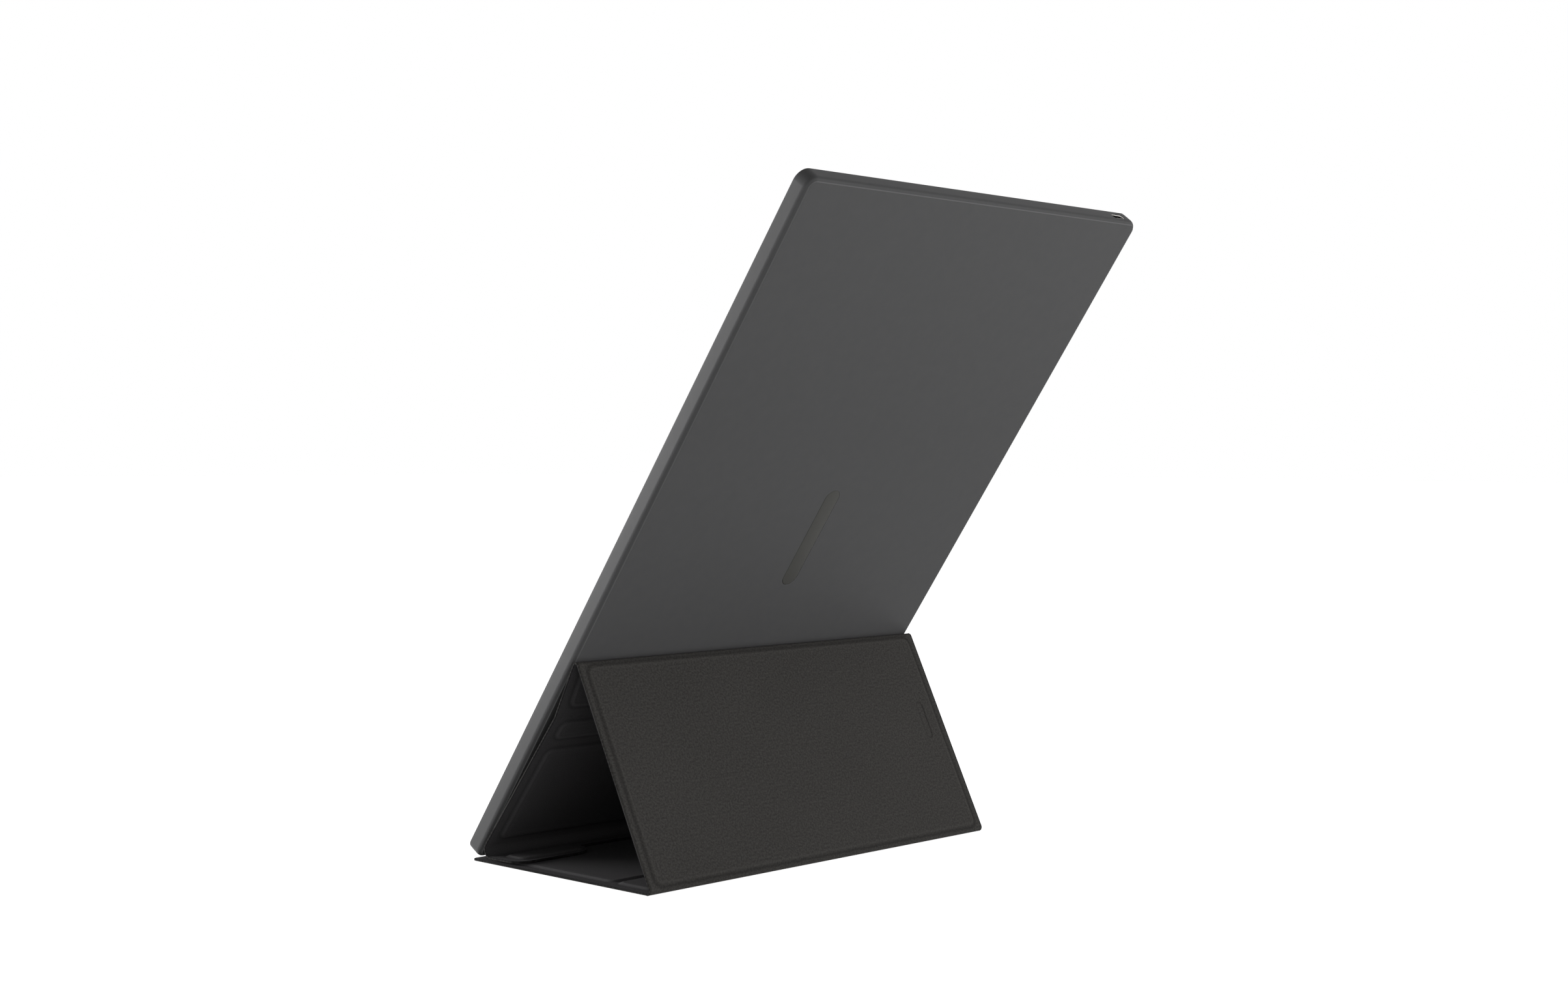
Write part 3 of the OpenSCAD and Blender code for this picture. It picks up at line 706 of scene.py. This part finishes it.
def cover_rows(s0, s1):
    places = [s for board in boards[:7] for s in board[2:]]
    rows = list(graded(s0, s1, places))
    for fold, after in (("rear_fold", "rear"), ("ridge", "upper"), ("curl", "flap"), ("crease", "spine")):
        rows += list(np.linspace(at[fold], at[after], CREASE_ROWS if fold == "crease" else FOLD_ROWS))
    rows += EDGE_STEPS + [at["end"] - d for d in EDGE_STEPS]
    rows += list(OBLONG_S + np.linspace(-11, 11, 45))
    rows = np.unique(np.round([s for s in rows if s0 + 0.1 < s < s1 - 0.1], 4))
    return np.concatenate([[s0], rows, [s1]])


# Pressed forms as (place, width): the bead and groove by their distance from a board's outline, the
# lip and the frayed line by their distance from a free edge. A start and an end bound a soft step.
BEAD = (-0.5, 0.5)
GROOVE = (1.5, 0.7)
LIP = (0.3, 0.25)
FRAYED_LINE = (0.68, 0.14)
PRESS_START = -0.1
PRESS_END = 1.1
OBLONG_START = -0.45
OBLONG_END = 0.1
LINING_PRESS_START = -0.7
LINING_PRESS_END = 1.7

# Heights of these forms
BEAD_H = 0.05
LIP_H = 0.06
GROOVE_H = 0.12
FRAYED_H = 0.12
OBLONG_H = 0.14
LINING_BEAD_H = 0.03
LINING_GROOVE_H = 0.05
EDGE_ROLL = 0.16
EDGE_ROLL_REACH = 0.3

# Tones of these forms as (place, width), with painted shade in the channel and round the oblong's rim and a
# painted highlight on the lining's lines, and the reach of the rubbed lip and of the dark cut edge
RUBBED_BEAD = (-0.3, 0.5)
CHANNEL = (1.5, 0.9)
OBLONG_RIM = (-0.15, 0.3)
LINING_HIGHLIGHT = (-0.2, 0.8)
LINING_SECOND_HIGHLIGHT = (-2.4, 0.6)
RUBBED_REACH = 0.6
CUT_REACH = 0.35


def hump(value, form):
    """A soft rise of one at the form's place."""
    place, width = form
    return np.exp(-((value - place) / width) ** 2)


def seam_line(x, s):
    """Strength of the uneven pressed line just inside the free edges."""
    uneven = 0.7 + 0.18 * np.sin(2.3 * s + 0.7 * x) + 0.12 * np.sin(5.9 * s - 1.3 * x)
    return uneven * hump(free_edge(x, s), FRAYED_LINE)


def sheet_heights(x, s, outer):
    """Outward distance of the cover's outer leather or inner lining from the fold line."""
    d = board_distance(x, s)
    bead = hump(d, BEAD)
    groove = hump(d, GROOVE)
    if outer:
        press = 1 - smooth_step(PRESS_START, PRESS_END, d)
        lip = hump(free_edge(x, s), LIP)
        raised = np.where(s < at["rear_fold"], 0.0, 1.0)
        sunk = 1 - smooth_step(OBLONG_START, OBLONG_END, oblong_distance(x, s))
        return (RELIEF * press + raised * (BEAD_H * bead + LIP_H * lip) - GROOVE_H * groove
                - FRAYED_H * seam_line(x, s) - OBLONG_H * sunk)
    press = 1 - smooth_step(LINING_PRESS_START, LINING_PRESS_END, d)
    return -BOND_T - (BOARD_T - RELIEF) * press - LINING_BEAD_H * bead + LINING_GROOVE_H * groove


def sheet_tones(x, s, outer):
    """Where the leather is rubbed lighter and the lining's board lines get a painted highlight, where painted
    shade darkens the channels and the oblong's rim, and where pressed lines and cut edges stay darker.
    """
    d = board_distance(x, s)
    edge = free_edge(x, s)
    lip = np.clip(1 - edge / RUBBED_REACH, 0, 1)
    fray = 0.8 + 0.2 * np.sin(3.1 * s + 1.7 * x)
    rim = 0.95 * fray * np.clip(1.3 - edge / CUT_REACH, 0, 1)
    channel = hump(d, CHANNEL)
    if outer:
        wear_and_highlight = 0.25 * hump(d, RUBBED_BEAD) + 0.3 * lip
        # Painted shade in the channel beside the boards and round the oblong's rim; darker seam line and cut edge
        shade = 0.45 * channel + 0.9 * seam_line(x, s) + 0.5 * hump(oblong_distance(x, s), OBLONG_RIM) + rim
    else:
        # Painted highlight along the lining's board lines
        wear_and_highlight = 0.25 * (hump(d, LINING_HIGHLIGHT) + 0.5 * hump(d, LINING_SECOND_HIGHLIGHT))
        # Painted shade in the lining's channel past the rear fold; darker near the free edge and at the cut edge
        shade = np.where(s < at["rear_fold"], 0.0, 0.3) * channel + 0.2 * lip + rim
    return {"wear_and_highlight": wear_and_highlight, "shade": np.clip(shade, 0, 1)}


def sheet_faces(n_rows, n_cols, outer):
    """Faces of a closed sheet: one grid of points, the same grid again behind it, and the rim between."""
    count = n_rows * n_cols
    index = np.arange(count).reshape(n_rows, n_cols)
    quads = np.stack([index[:-1, :-1], index[:-1, 1:], index[1:, 1:], index[1:, :-1]], axis=-1).reshape(-1, 4)
    rim = np.concatenate([index[0, :], index[1:, -1], index[-1, -2::-1], index[-2:0:-1, 0]])
    walls = np.stack([rim, rim + count, np.roll(rim, -1) + count, np.roll(rim, -1)], axis=-1)
    turned = quads[:, ::-1]
    if outer:
        faces = np.concatenate([quads, turned + count, walls])
    else:
        faces = np.concatenate([turned, quads + count, walls[:, ::-1]])
    return [tuple(face) for face in faces.tolist()]


def add_sheet_layers(sheet, x, s, outer):
    """Gives a sheet its tone attributes and a flat UV map in metres."""
    for word, values in sheet_tones(x, s, outer).items():
        attribute = sheet.data.attributes.new(word, "FLOAT", "POINT")
        attribute.data.foreach_set("value", np.tile(values.reshape(-1), 2).astype(np.float32))
    flat_uv = np.tile(np.stack([x.reshape(-1), s.reshape(-1)], axis=-1) * MM, (2, 1))
    layer = sheet.data.uv_layers.new(name="cover")
    corners = np.empty(len(sheet.data.loops), int)
    sheet.data.loops.foreach_get("vertex_index", corners)
    layer.data.foreach_set("uv", flat_uv[corners].astype(np.float32).reshape(-1))


def sheet_mesh(name, s0, s1, outer, material):
    """One stretch of leather or lining as a closed sheet with softened free edges."""
    x, s = np.meshgrid(cover_columns(), cover_rows(s0, s1))
    s = trimmed(x, s)
    place = np.empty(s.shape + (2,))
    out = np.empty(s.shape + (2,))
    for i in range(s.shape[0]):
        for j in range(s.shape[1]):
            place[i, j], out[i, j] = section_point(s[i, j])
    face = sheet_heights(x, s, outer)
    other = face - SKIN_T if outer else face + LINING_T
    roll = EDGE_ROLL * np.clip(1 - free_edge(x, s) / EDGE_ROLL_REACH, 0, 1) ** 2
    face = face - roll if outer else face + roll
    layers = []
    for height in (face, other):
        flat = place + height[..., None] * out
        layers.append(np.stack([x, flat[..., 0], flat[..., 1]], axis=-1).reshape(-1, 3))
    made = add_object(name, np.concatenate(layers), sheet_faces(*x.shape, outer), material, 40.0)
    add_sheet_layers(made, x, s, outer)
    return made


def build_cover():
    rear_mid = (at["rear"] + at["ridge"]) / 2
    front_mid = (at["front"] + at["curl"]) / 2
    stretches = [
        ("rear", 0.0, rear_mid, "base", "rear_panel", 1, 1.3,
         ("base_skin", "rear_fold"), ("base_lining",)),
        ("ridge", rear_mid, front_mid, "rear_panel", "front_panel", 3, 1.5,
         ("rear_skin", "ridge_fold", "upper_skin", "spine_skin"),
         ("rear_lining", "upper_lining", "spine_lining")),
        ("foot", front_mid, at["end"], "front_panel", "flap", 8, 3.0,
         ("front_skin", "curl_fold", "flap_skin"), ("front_lining", "flap_lining")),
    ]
    for name, s0, s1, body_a, body_b, fold, reach, skins, linings in stretches:
        for outer, word, material, nodes in ((True, "leather", "leather", skins),
                                             (False, "lining", "lining", linings)):
            sheet = sheet_mesh(f"{name}_{word}", s0, s1, outer, material)
            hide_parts(*nodes)
            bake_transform(sheet)


build_cover()


# Monitor: the outside's upper corners, which tighten towards the back plate
SHELL_R = 6.0
CORNER_TAPER = 1.4


def rounded_loop(inset, w, top, turns=10):
    """A rounded rectangle around the monitor at one inset and height, as (x, v, w) points."""
    half = MON_W / 2 - inset
    low, high = inset, MON_L - inset
    foot = max(FOOT_R - inset, 0.3)
    corners = [(half - foot, low + foot, foot, -90), (half - top, high - top, top, 0),
               (-half + top, high - top, top, 90), (-half + foot, low + foot, foot, 180)]
    points = []
    for x, v, r, start in corners:
        for k in range(turns + 1):
            a = math.radians(start + 90 * k / turns)
            points.append((x + r * math.cos(a), v + r * math.sin(a), w))
    return points


def loft(loops, closed=True):
    """Joins loops of equal length by quads, and closes both ends."""
    n = len(loops[0])
    points = [p for loop in loops for p in loop]
    faces = []
    for k in range(len(loops) - 1):
        for i in range(n):
            j = (i + 1) % n
            faces.append((k * n + i, k * n + j, (k + 1) * n + j, (k + 1) * n + i))
    if closed:
        last = (len(loops) - 1) * n
        faces.append(tuple(range(n - 1, -1, -1)))
        faces.append(tuple(last + i for i in range(n)))
    return points, faces


# The case's section as (inset, w): the back plate's fine bevel, the rim's eased edge and the inside
PLATE_EDGE = [(3.2, 0.0), (PLATE_INSET, 0.0), (2.01, 0.07), (1.77, 0.24), (1.6, 0.46)]
RIM_EDGE = [(0.05, 5.4), (0.0, MON_T - 0.5), (0.03, MON_T - 0.25), (0.12, MON_T - 0.08), (0.3, MON_T)]
INSIDE = [(RIM_T - 0.15, MON_T), (RIM_T - 0.03, MON_T - 0.05), (RIM_T, MON_T - 0.15), (RIM_T, BEZEL_W),
          (WALL_T, BEZEL_W), (WALL_T, FLOOR_T + 0.4), (WALL_T + 0.12, FLOOR_T + 0.12),
          (WALL_T + 0.4, FLOOR_T), (WALL_T + 2.0, FLOOR_T)]

# The round shoulder between the back plate and the wall
SHOULDER_TURN = 47.0
SHOULDER_R = 2.4
SHOULDER_INSET = 0.2
SHOULDER_W = 0.8
SHOULDER_STEPS = 10


def shell_profile():
    """Inset, height and upper corner radius of the case, from the back plate's edge to its floor."""
    top_w = SHOULDER_W + SHOULDER_R * math.sin(math.radians(SHOULDER_TURN))
    shoulder = []
    for k in range(1, SHOULDER_STEPS + 1):
        a = math.radians(SHOULDER_TURN * (1 - k / SHOULDER_STEPS))
        inset = SHOULDER_INSET + SHOULDER_R * (1 - math.cos(a))
        shoulder.append((inset, top_w - SHOULDER_R * math.sin(a)))
    outside = PLATE_EDGE + shoulder + RIM_EDGE
    shell = [(inset, w, SHELL_R - CORNER_TAPER * inset) for inset, w in outside]
    return shell + [(inset, w, MON_R - inset) for inset, w in INSIDE]


def pill_loop(long, high, turns=12):
    """A round-ended slot outline around the origin, as (a, b) points with its length along a."""
    r = high / 2
    reach = long / 2 - r
    points = []
    for side, start in ((1, -90), (-1, 90)):
        for k in range(turns + 1):
            a = math.radians(start + 180 * k / turns)
            points.append((side * reach + r * math.cos(a), r * math.sin(a)))
    return points


def port_loop(long, high, v):
    return [(PORT_X + a, v, PORT_W - b) for a, b in pill_loop(long, high)]


def inlay_loop(grow, w):
    return [(b, MON_L / 2 + a, w) for a, b in pill_loop(INLAY_L + 2 * grow, INLAY_W + 2 * grow)][::-1]


def monitor_piece(name, loops, material, angle=38.0):
    points, faces = loft(loops)
    return add_object(name, on_monitor(points), faces, material, angle)


# Room around the port's sleeve and the inlay, and how far their openings flare
SLOT_GAP = 0.2
SLOT_FLARE = 0.22
RECESS_STEPS = ((0.45, -0.3), (0.12, 0.06), (0.1, INLAY_T + 0.05))


def rods(name, places, radius, low, high, turns=24):
    """Upright rods of one size at the given (x, v) places, as one mesh."""
    angles = [2 * math.pi * k / turns for k in range(turns)]
    points, faces = [], []
    for x, v in places:
        ring = [(x + radius * math.cos(a), v + radius * math.sin(a)) for a in angles]
        rod_points, rod_faces = loft([[(*place, w) for place in ring] for w in (low, high)])
        faces += [tuple(i + len(points) for i in face) for face in rod_faces]
        points += rod_points
    return add_object(name, on_monitor(points), faces, "case_metal")


def cut_case(case):
    """Adds the screw posts, then opens the screw holes, the port's slot and the inlay's recess."""
    long, high = PORT_LONG + SLOT_GAP, PORT_HIGH + SLOT_GAP
    wide = 4 * SLOT_FLARE
    slot = [port_loop(long, high, v) for v in (MON_L - WALL_T - 1.0, MON_L - SLOT_FLARE)]
    slot += [port_loop(long + wide, high + wide, MON_L + SLOT_FLARE)]
    recess = [inlay_loop(grow, w) for grow, w in RECESS_STEPS]
    cutters = [monitor_piece("port_cutter", slot, "case_metal"),
               monitor_piece("inlay_cutter", recess, "case_metal"),
               rods("post_drill", POST_PLACES, SCREW_R, FLOOR_T, MON_T),
               rods("floor_drill", SCREW_PLACES, SCREW_R, FLOOR_T / 2, MON_T)]
    posts = rods("posts", POST_PLACES, POST_R, FLOOR_T - 0.2, POST_TOP)
    boolean(case, posts, "UNION")
    for cutter in cutters:
        boolean(case, cutter, "DIFFERENCE")
    even_normals(case)
    finished(case)
    for cutter in cutters + [posts]:
        drop(cutter)


# Heights between which the plate's fine bevel gets a painted highlight
HIGHLIGHT_LOW = 0.03
HIGHLIGHT_HIGH = 0.3


def paint_bevel_highlight(case):
    """Marks the fine bevel round the back plate for a painted highlight in a lighter tone."""
    points = np.empty(len(case.data.vertices) * 3)
    case.data.vertices.foreach_get("co", points)
    y, z = points.reshape(-1, 3)[:, 1:].T / MM
    w = (z - FOOT_Z) * math.cos(LEAN) - (y - FOOT_Y) * math.sin(LEAN)
    edge = case.data.attributes.new("edge", "FLOAT", "POINT")
    edge.data.foreach_set("value", ((w > HIGHLIGHT_LOW) & (w < HIGHLIGHT_HIGH)).astype(np.float32))


def build_case():
    loops = [rounded_loop(inset, w, top) for inset, w, top in shell_profile()]
    case = monitor_piece("case_back", loops, "case_metal", 40.0)
    cut_case(case)
    paint_bevel_highlight(case)
    placed(case, "monitor", "case_metal", "back_cover")


INLAY_STEPS = ((-0.35, 0.0), (-0.12, 0.02), (0.0, 0.12), (0.0, INLAY_T))


def build_inlay():
    loops = [inlay_loop(grow, w) for grow, w in INLAY_STEPS]
    placed(monitor_piece("inlay_bar", loops, "inlay"), "monitor", "inlay", "back_inlay")


# The port's rolled lip, the depth past which its bore is unlit, and its tongue as (length, height, v)
PORT_LIP = 0.12
LIP_EASE = 0.3 * PORT_LIP
UNLIT_DEPTH = 0.7
TONGUE_STEPS = ((8.2, 2.5, 0.0), (8.2, 2.5, 1.1), (6.9, 1.1, 1.3), (6.69, 0.7, 1.6), (6.69, 0.7, 5.1),
                (6.5, 0.5, 5.3))


def sleeve_rings(back):
    """Inset and place along v of the sleeve's section, from its back over the lip into the bore."""
    outside = [(0.0, back + 0.3), (0.0, PORT_MOUTH - PORT_LIP), (LIP_EASE, PORT_MOUTH - LIP_EASE),
               (PORT_LIP, PORT_MOUTH), (PORT_WALL - PORT_LIP, PORT_MOUTH),
               (PORT_WALL - LIP_EASE, PORT_MOUTH - LIP_EASE), (PORT_WALL, PORT_MOUTH - PORT_LIP)]
    return outside, [(PORT_WALL, PORT_MOUTH - UNLIT_DEPTH), (PORT_WALL, back + PORT_WALL)]


def build_port():
    """The port's drawn shell with a rolled lip, and its tongue."""
    back = PORT_MOUTH - PORT_DEPTH
    lit, unlit = sleeve_rings(back)
    loops = [port_loop(PORT_LONG - 2 * PORT_LIP, PORT_HIGH - 2 * PORT_LIP, back)]
    loops += [port_loop(PORT_LONG - 2 * inset, PORT_HIGH - 2 * inset, v) for inset, v in lit + unlit]
    sleeve = monitor_piece("port_sleeve", loops, "steel")
    inside = sleeve.data.attributes.new("shade", "FLOAT", "POINT")
    depths = [0.0] * (len(lit) + 1) + [1.0] * len(unlit)
    inside.data.foreach_set("value", np.repeat(depths, len(loops[0])))
    placed(sleeve, "monitor", "steel", "port_shell")
    foot = back + PORT_WALL + 0.02
    loops = [port_loop(long, high, foot + v) for long, high, v in TONGUE_STEPS]
    placed(monitor_piece("port_blade", loops, "dark_plastic"), "monitor", "dark_plastic", "port_tongue")


build_case()
build_inlay()
build_port()


# Parts kept in their CAD shape, with the width of the rounding on their edges
ROUNDINGS = {
    "front_bezel": 0.15, "lcd_cell": 0.1, "prism_film": 0.03, "diffuser_film": 0.03, "light_guide": 0.1,
    "reflector_film": 0.03, "panel_frame": 0.08, "panel_tray": 0.1, "driver_board": 0.08,
    "display_cable": 0.08, "insulating_sheet": 0.03, "main_board": 0.08, "video_chip": 0.12,
    "thermal_pad": 0.2, "shield_can": 0.3, "button_board": 0.08, "dome_switches": 0.12,
    "power_button": 0.3, "menu_button": 0.3, "indicator_pipe": 0.12, "board_screws": 0.15,
    "holding_plate": 0.1, "base_board": 0.15, "base_rear_board": 0.15, "rear_board": 0.15,
    "upper_board": 0.15, "spine_board": 0.15, "front_board": 0.15, "flap_board": 0.15,
    "base_magnets": 0.25, "front_magnets": 0.25, "flap_magnets": 0.25,
}
bodies = {part: body for body, parts in frame["record"]["behaviour"]["bodies"].items() for part in parts}


def build_softened():
    for name, width in ROUNDINGS.items():
        softened(name, bodies[name], width)


build_softened()


# Small parts that repeat, set out by Geometry Nodes in the monitor's own (x, v, w) frame
BLOCK_INPUTS = [("Columns", "NodeSocketInt"), ("Rows", "NodeSocketInt"), ("Start", "NodeSocketVector"),
                ("Column Step", "NodeSocketVector"), ("Row Step", "NodeSocketVector"),
                ("Size", "NodeSocketVector"), ("Lift", "NodeSocketVector"), ("Smallest", "NodeSocketVector"),
                ("Material", "NodeSocketMaterial")]
BLOCK_SEED = 7


def block_group():
    """Rows of small blocks standing on a face, each a little different in size."""
    group = bpy.data.node_groups.new("blocks", "GeometryNodeTree")
    sockets = {word: group.interface.new_socket(name=word, in_out="INPUT", socket_type=kind).identifier
               for word, kind in BLOCK_INPUTS}
    group.interface.new_socket(name="Geometry", in_out="OUTPUT", socket_type="NodeSocketGeometry")
    made = {word: group.nodes.new(kind) for word, kind in (
        ("inputs", "NodeGroupInput"), ("columns", "GeometryNodeMeshLine"), ("rows", "GeometryNodeMeshLine"),
        ("spread", "GeometryNodeInstanceOnPoints"), ("points", "GeometryNodeRealizeInstances"),
        ("block", "GeometryNodeMeshCube"), ("raised", "GeometryNodeTransform"),
        ("scale", "FunctionNodeRandomValue"), ("set_out", "GeometryNodeInstanceOnPoints"),
        ("real", "GeometryNodeRealizeInstances"), ("dressed", "GeometryNodeSetMaterial"),
        ("output", "NodeGroupOutput"))}
    made["scale"].data_type = "FLOAT_VECTOR"
    made["scale"].inputs["Max"].default_value = (1.0, 1.0, 1.0)
    made["scale"].inputs["Seed"].default_value = BLOCK_SEED
    links = [("inputs", "Columns", "columns", "Count"), ("inputs", "Start", "columns", "Start Location"),
             ("inputs", "Column Step", "columns", "Offset"), ("inputs", "Rows", "rows", "Count"),
             ("inputs", "Row Step", "rows", "Offset"), ("columns", "Mesh", "spread", "Points"),
             ("rows", "Mesh", "spread", "Instance"), ("spread", "Instances", "points", "Geometry"),
             ("inputs", "Size", "block", "Size"), ("block", "Mesh", "raised", "Geometry"),
             ("inputs", "Lift", "raised", "Translation"), ("inputs", "Smallest", "scale", "Min"),
             ("points", "Geometry", "set_out", "Points"), ("raised", "Geometry", "set_out", "Instance"),
             ("scale", "Value", "set_out", "Scale"), ("set_out", "Instances", "real", "Geometry"),
             ("real", "Geometry", "dressed", "Geometry"), ("inputs", "Material", "dressed", "Material"),
             ("dressed", "Geometry", "output", "Geometry")]
    for source, out_name, target, in_name in links:
        group.links.new(made[source].outputs[out_name], made[target].inputs[in_name])
    return group, sockets


blocks, block_sockets = block_group()


def build_blocks(name, slot, counts, start, steps, size, smallest=1.0):
    """Counts, steps and size are (x, v[, w]) in millimetres; start is the first block's foot."""
    mesh = bpy.data.meshes.new(name)
    piece = bpy.data.objects.new(name, mesh)
    bpy.context.scene.collection.objects.link(piece)
    modifier = piece.modifiers.new("blocks", "NODES")
    modifier.node_group = blocks
    values = {
        "Columns": counts[0], "Rows": counts[1], "Start": [c * MM for c in start],
        "Column Step": (steps[0] * MM, 0.0, 0.0), "Row Step": (0.0, steps[1] * MM, 0.0),
        "Size": [c * MM for c in size], "Lift": (0.0, 0.0, size[2] / 2 * MM),
        "Smallest": (smallest, smallest, smallest), "Material": materials[slot],
    }
    for word, value in values.items():
        modifier[block_sockets[word]] = value
    finished(piece)
    foot = Matrix.Translation((0.0, FOOT_Y * MM, FOOT_Z * MM))
    piece.data.transform(foot @ Matrix.Rotation(LEAN, 4, "X"))
    placed(piece, "monitor", slot)


BOARD_TOP = 2.4
KEY_BOARD_TOP = 4.6
TONGUE_V = PORT_MOUTH - 3.4
CONTACT_X = PORT_X - 2.75
build_blocks("board_parts_low", "dark_plastic", counts=(4, 9), start=(-79.0, 275.0, BOARD_TOP),
             steps=(3.0, 3.0), size=(1.8, 1.0, 0.8), smallest=0.6)
build_blocks("board_parts_high", "dark_plastic", counts=(5, 6), start=(-101.0, 327.0, BOARD_TOP),
             steps=(2.6, 3.2), size=(1.4, 1.8, 0.9), smallest=0.6)
build_blocks("key_board_parts", "dark_plastic", counts=(2, 3), start=(-102.0, 55.0, KEY_BOARD_TOP),
             steps=(2.2, 3.0), size=(1.0, 1.6, 0.5), smallest=0.8)
for side, contact_w in (("upper", PORT_W + 0.35), ("lower", PORT_W - 0.38)):
    build_blocks(f"port_contacts_{side}", "steel", counts=(12, 1), start=(CONTACT_X, TONGUE_V, contact_w),
                 steps=(0.5, 1.0), size=(0.28, 2.6, 0.03))


# The light bar: a narrow strip with one white package beside the next
LED_BACK_X = -94.2
LED_FACE_X = -93.0
LED_STRIP_T = 0.4
LED_LOW_V = 5.65
LED_HIGH_V = 354.05
LED_LOW_W = 4.7
LED_HIGH_W = 5.3
LED_COUNT = 48
LED_SHARE = 0.45
LED_EASE = 0.05


def box_loop(x0, x1, v0, v1, w):
    return [(x0, v0, w), (x1, v0, w), (x1, v1, w), (x0, v1, w)]


def build_light_bar():
    strip_x = LED_BACK_X + LED_STRIP_T
    loops = [box_loop(LED_BACK_X, strip_x, LED_LOW_V, LED_HIGH_V, w) for w in (LED_LOW_W, LED_HIGH_W)]
    placed(monitor_piece("led_strip", loops, "film"), "monitor", "film", "led_bar")
    pitch = (LED_HIGH_V - LED_LOW_V) / LED_COUNT
    middle_x = (strip_x + LED_FACE_X) / 2
    package = (LED_FACE_X - strip_x, LED_SHARE * pitch, LED_HIGH_W - LED_LOW_W - 2 * LED_EASE)
    start = (middle_x, LED_LOW_V + pitch / 2, LED_LOW_W + LED_EASE)
    build_blocks("led_packages", "film", counts=(1, LED_COUNT), start=start, steps=(1.0, pitch), size=package)


build_light_bar()


# Camera, lamps, floor
def build_camera():
    data = bpy.data.cameras.new("camera")
    data.lens = CAMERA_LENS
    data.sensor_width = SENSOR_WIDTH
    camera = bpy.data.objects.new("camera", data)
    bpy.context.scene.collection.objects.link(camera)
    back = -Vector(CAMERA_FORWARD).normalized()
    up = Vector(CAMERA_UP).normalized()
    right = up.cross(back).normalized()
    up = back.cross(right)
    turn = Matrix((right, up, back)).transposed().to_4x4()
    camera.matrix_world = Matrix.Translation(Vector(CAMERA_AT) * MM) @ turn
    bpy.context.scene.camera = camera


def area_lamp(name, place, target, size, power):
    """A rectangular lamp facing its target; places and sizes in metres, power in watts."""
    data = bpy.data.lights.new(name, "AREA")
    data.shape = "RECTANGLE"
    data.size, data.size_y = size
    data.energy = power
    lamp = bpy.data.objects.new(name, data)
    lamp.location = place
    lamp.rotation_euler = (Vector(target) - Vector(place)).to_track_quat("-Z", "Y").to_euler()
    bpy.context.scene.collection.objects.link(lamp)


def white_for_view(tree, strength):
    """Emission seen by camera, glossy and transmission rays only."""
    path = tree.nodes.new("ShaderNodeLightPath")
    first = tree.nodes.new("ShaderNodeMath")
    second = tree.nodes.new("ShaderNodeMath")
    for adder in (first, second):
        adder.operation = "MAXIMUM"
    tree.links.new(path.outputs["Is Camera Ray"], first.inputs[0])
    tree.links.new(path.outputs["Is Glossy Ray"], first.inputs[1])
    tree.links.new(first.outputs[0], second.inputs[0])
    tree.links.new(path.outputs["Is Transmission Ray"], second.inputs[1])
    scaled = tree.nodes.new("ShaderNodeMath")
    scaled.operation = "MULTIPLY"
    scaled.inputs[1].default_value = strength
    tree.links.new(second.outputs[0], scaled.inputs[0])
    return scaled.outputs[0]


# The floor, in metres: its width and how far it lies below the stand, with its own white
FLOOR_WIDTH = 30.0
FLOOR_DROP = 0.0002
FLOOR_WHITE = 0.93


def build_floor():
    bpy.ops.mesh.primitive_plane_add(size=FLOOR_WIDTH, location=(0, 0, -FLOOR_DROP))
    floor = bpy.context.object
    floor.name = "floor"
    material, tree, shader = new_material("floor")
    shader.inputs["Base Color"].default_value = (0.8, 0.8, 0.8, 1.0)
    shader.inputs["Roughness"].default_value = 0.9
    shader.inputs["Specular IOR Level"].default_value = 0.0
    shader.inputs["Emission Color"].default_value = (1, 1, 1, 1)
    tree.links.new(white_for_view(tree, FLOOR_WHITE), shader.inputs["Emission Strength"])
    floor.data.materials.append(material)


# Strength of the studio's soft light, level with the object and above it
HORIZON_LIGHT = 0.38
OVERHEAD_LIGHT = 0.04


def build_world():
    world = bpy.data.worlds.new("studio")
    bpy.context.scene.world = world
    world.use_nodes = True
    tree = world.node_tree
    background = tree.nodes["Background"]
    background.inputs["Color"].default_value = (1, 1, 1, 1)
    direction = tree.nodes.new("ShaderNodeTexCoord")
    split = tree.nodes.new("ShaderNodeSeparateXYZ")
    tree.links.new(direction.outputs["Generated"], split.inputs["Vector"])
    strength = node(tree, "ShaderNodeMapRange", To_Max=1.0)
    by_height = value_range(tree, split.outputs["Z"], HORIZON_LIGHT, OVERHEAD_LIGHT)
    tree.links.new(by_height, strength.inputs["To Min"])
    tree.links.new(white_for_view(tree, 1.0), strength.inputs["Value"])
    tree.links.new(strength.outputs["Result"], background.inputs["Strength"])


build_camera()
build_floor()
build_world()
area_lamp("side_lamp", place=(0.85, -1.15, 0.25), target=(0, 0, 0.15), size=(0.9, 0.5), power=24.0)
area_lamp("rear_lamp", place=(-0.85, 1.1, 0.24), target=(0, 0, 0.2), size=(0.9, 0.4), power=5.0)
area_lamp("floor_lamp", place=(0, 0.9, 0.2), target=(0, 0.9, 0), size=(1.5, 0.9), power=6.0)
bpy.context.scene.view_settings.view_transform = "Standard"
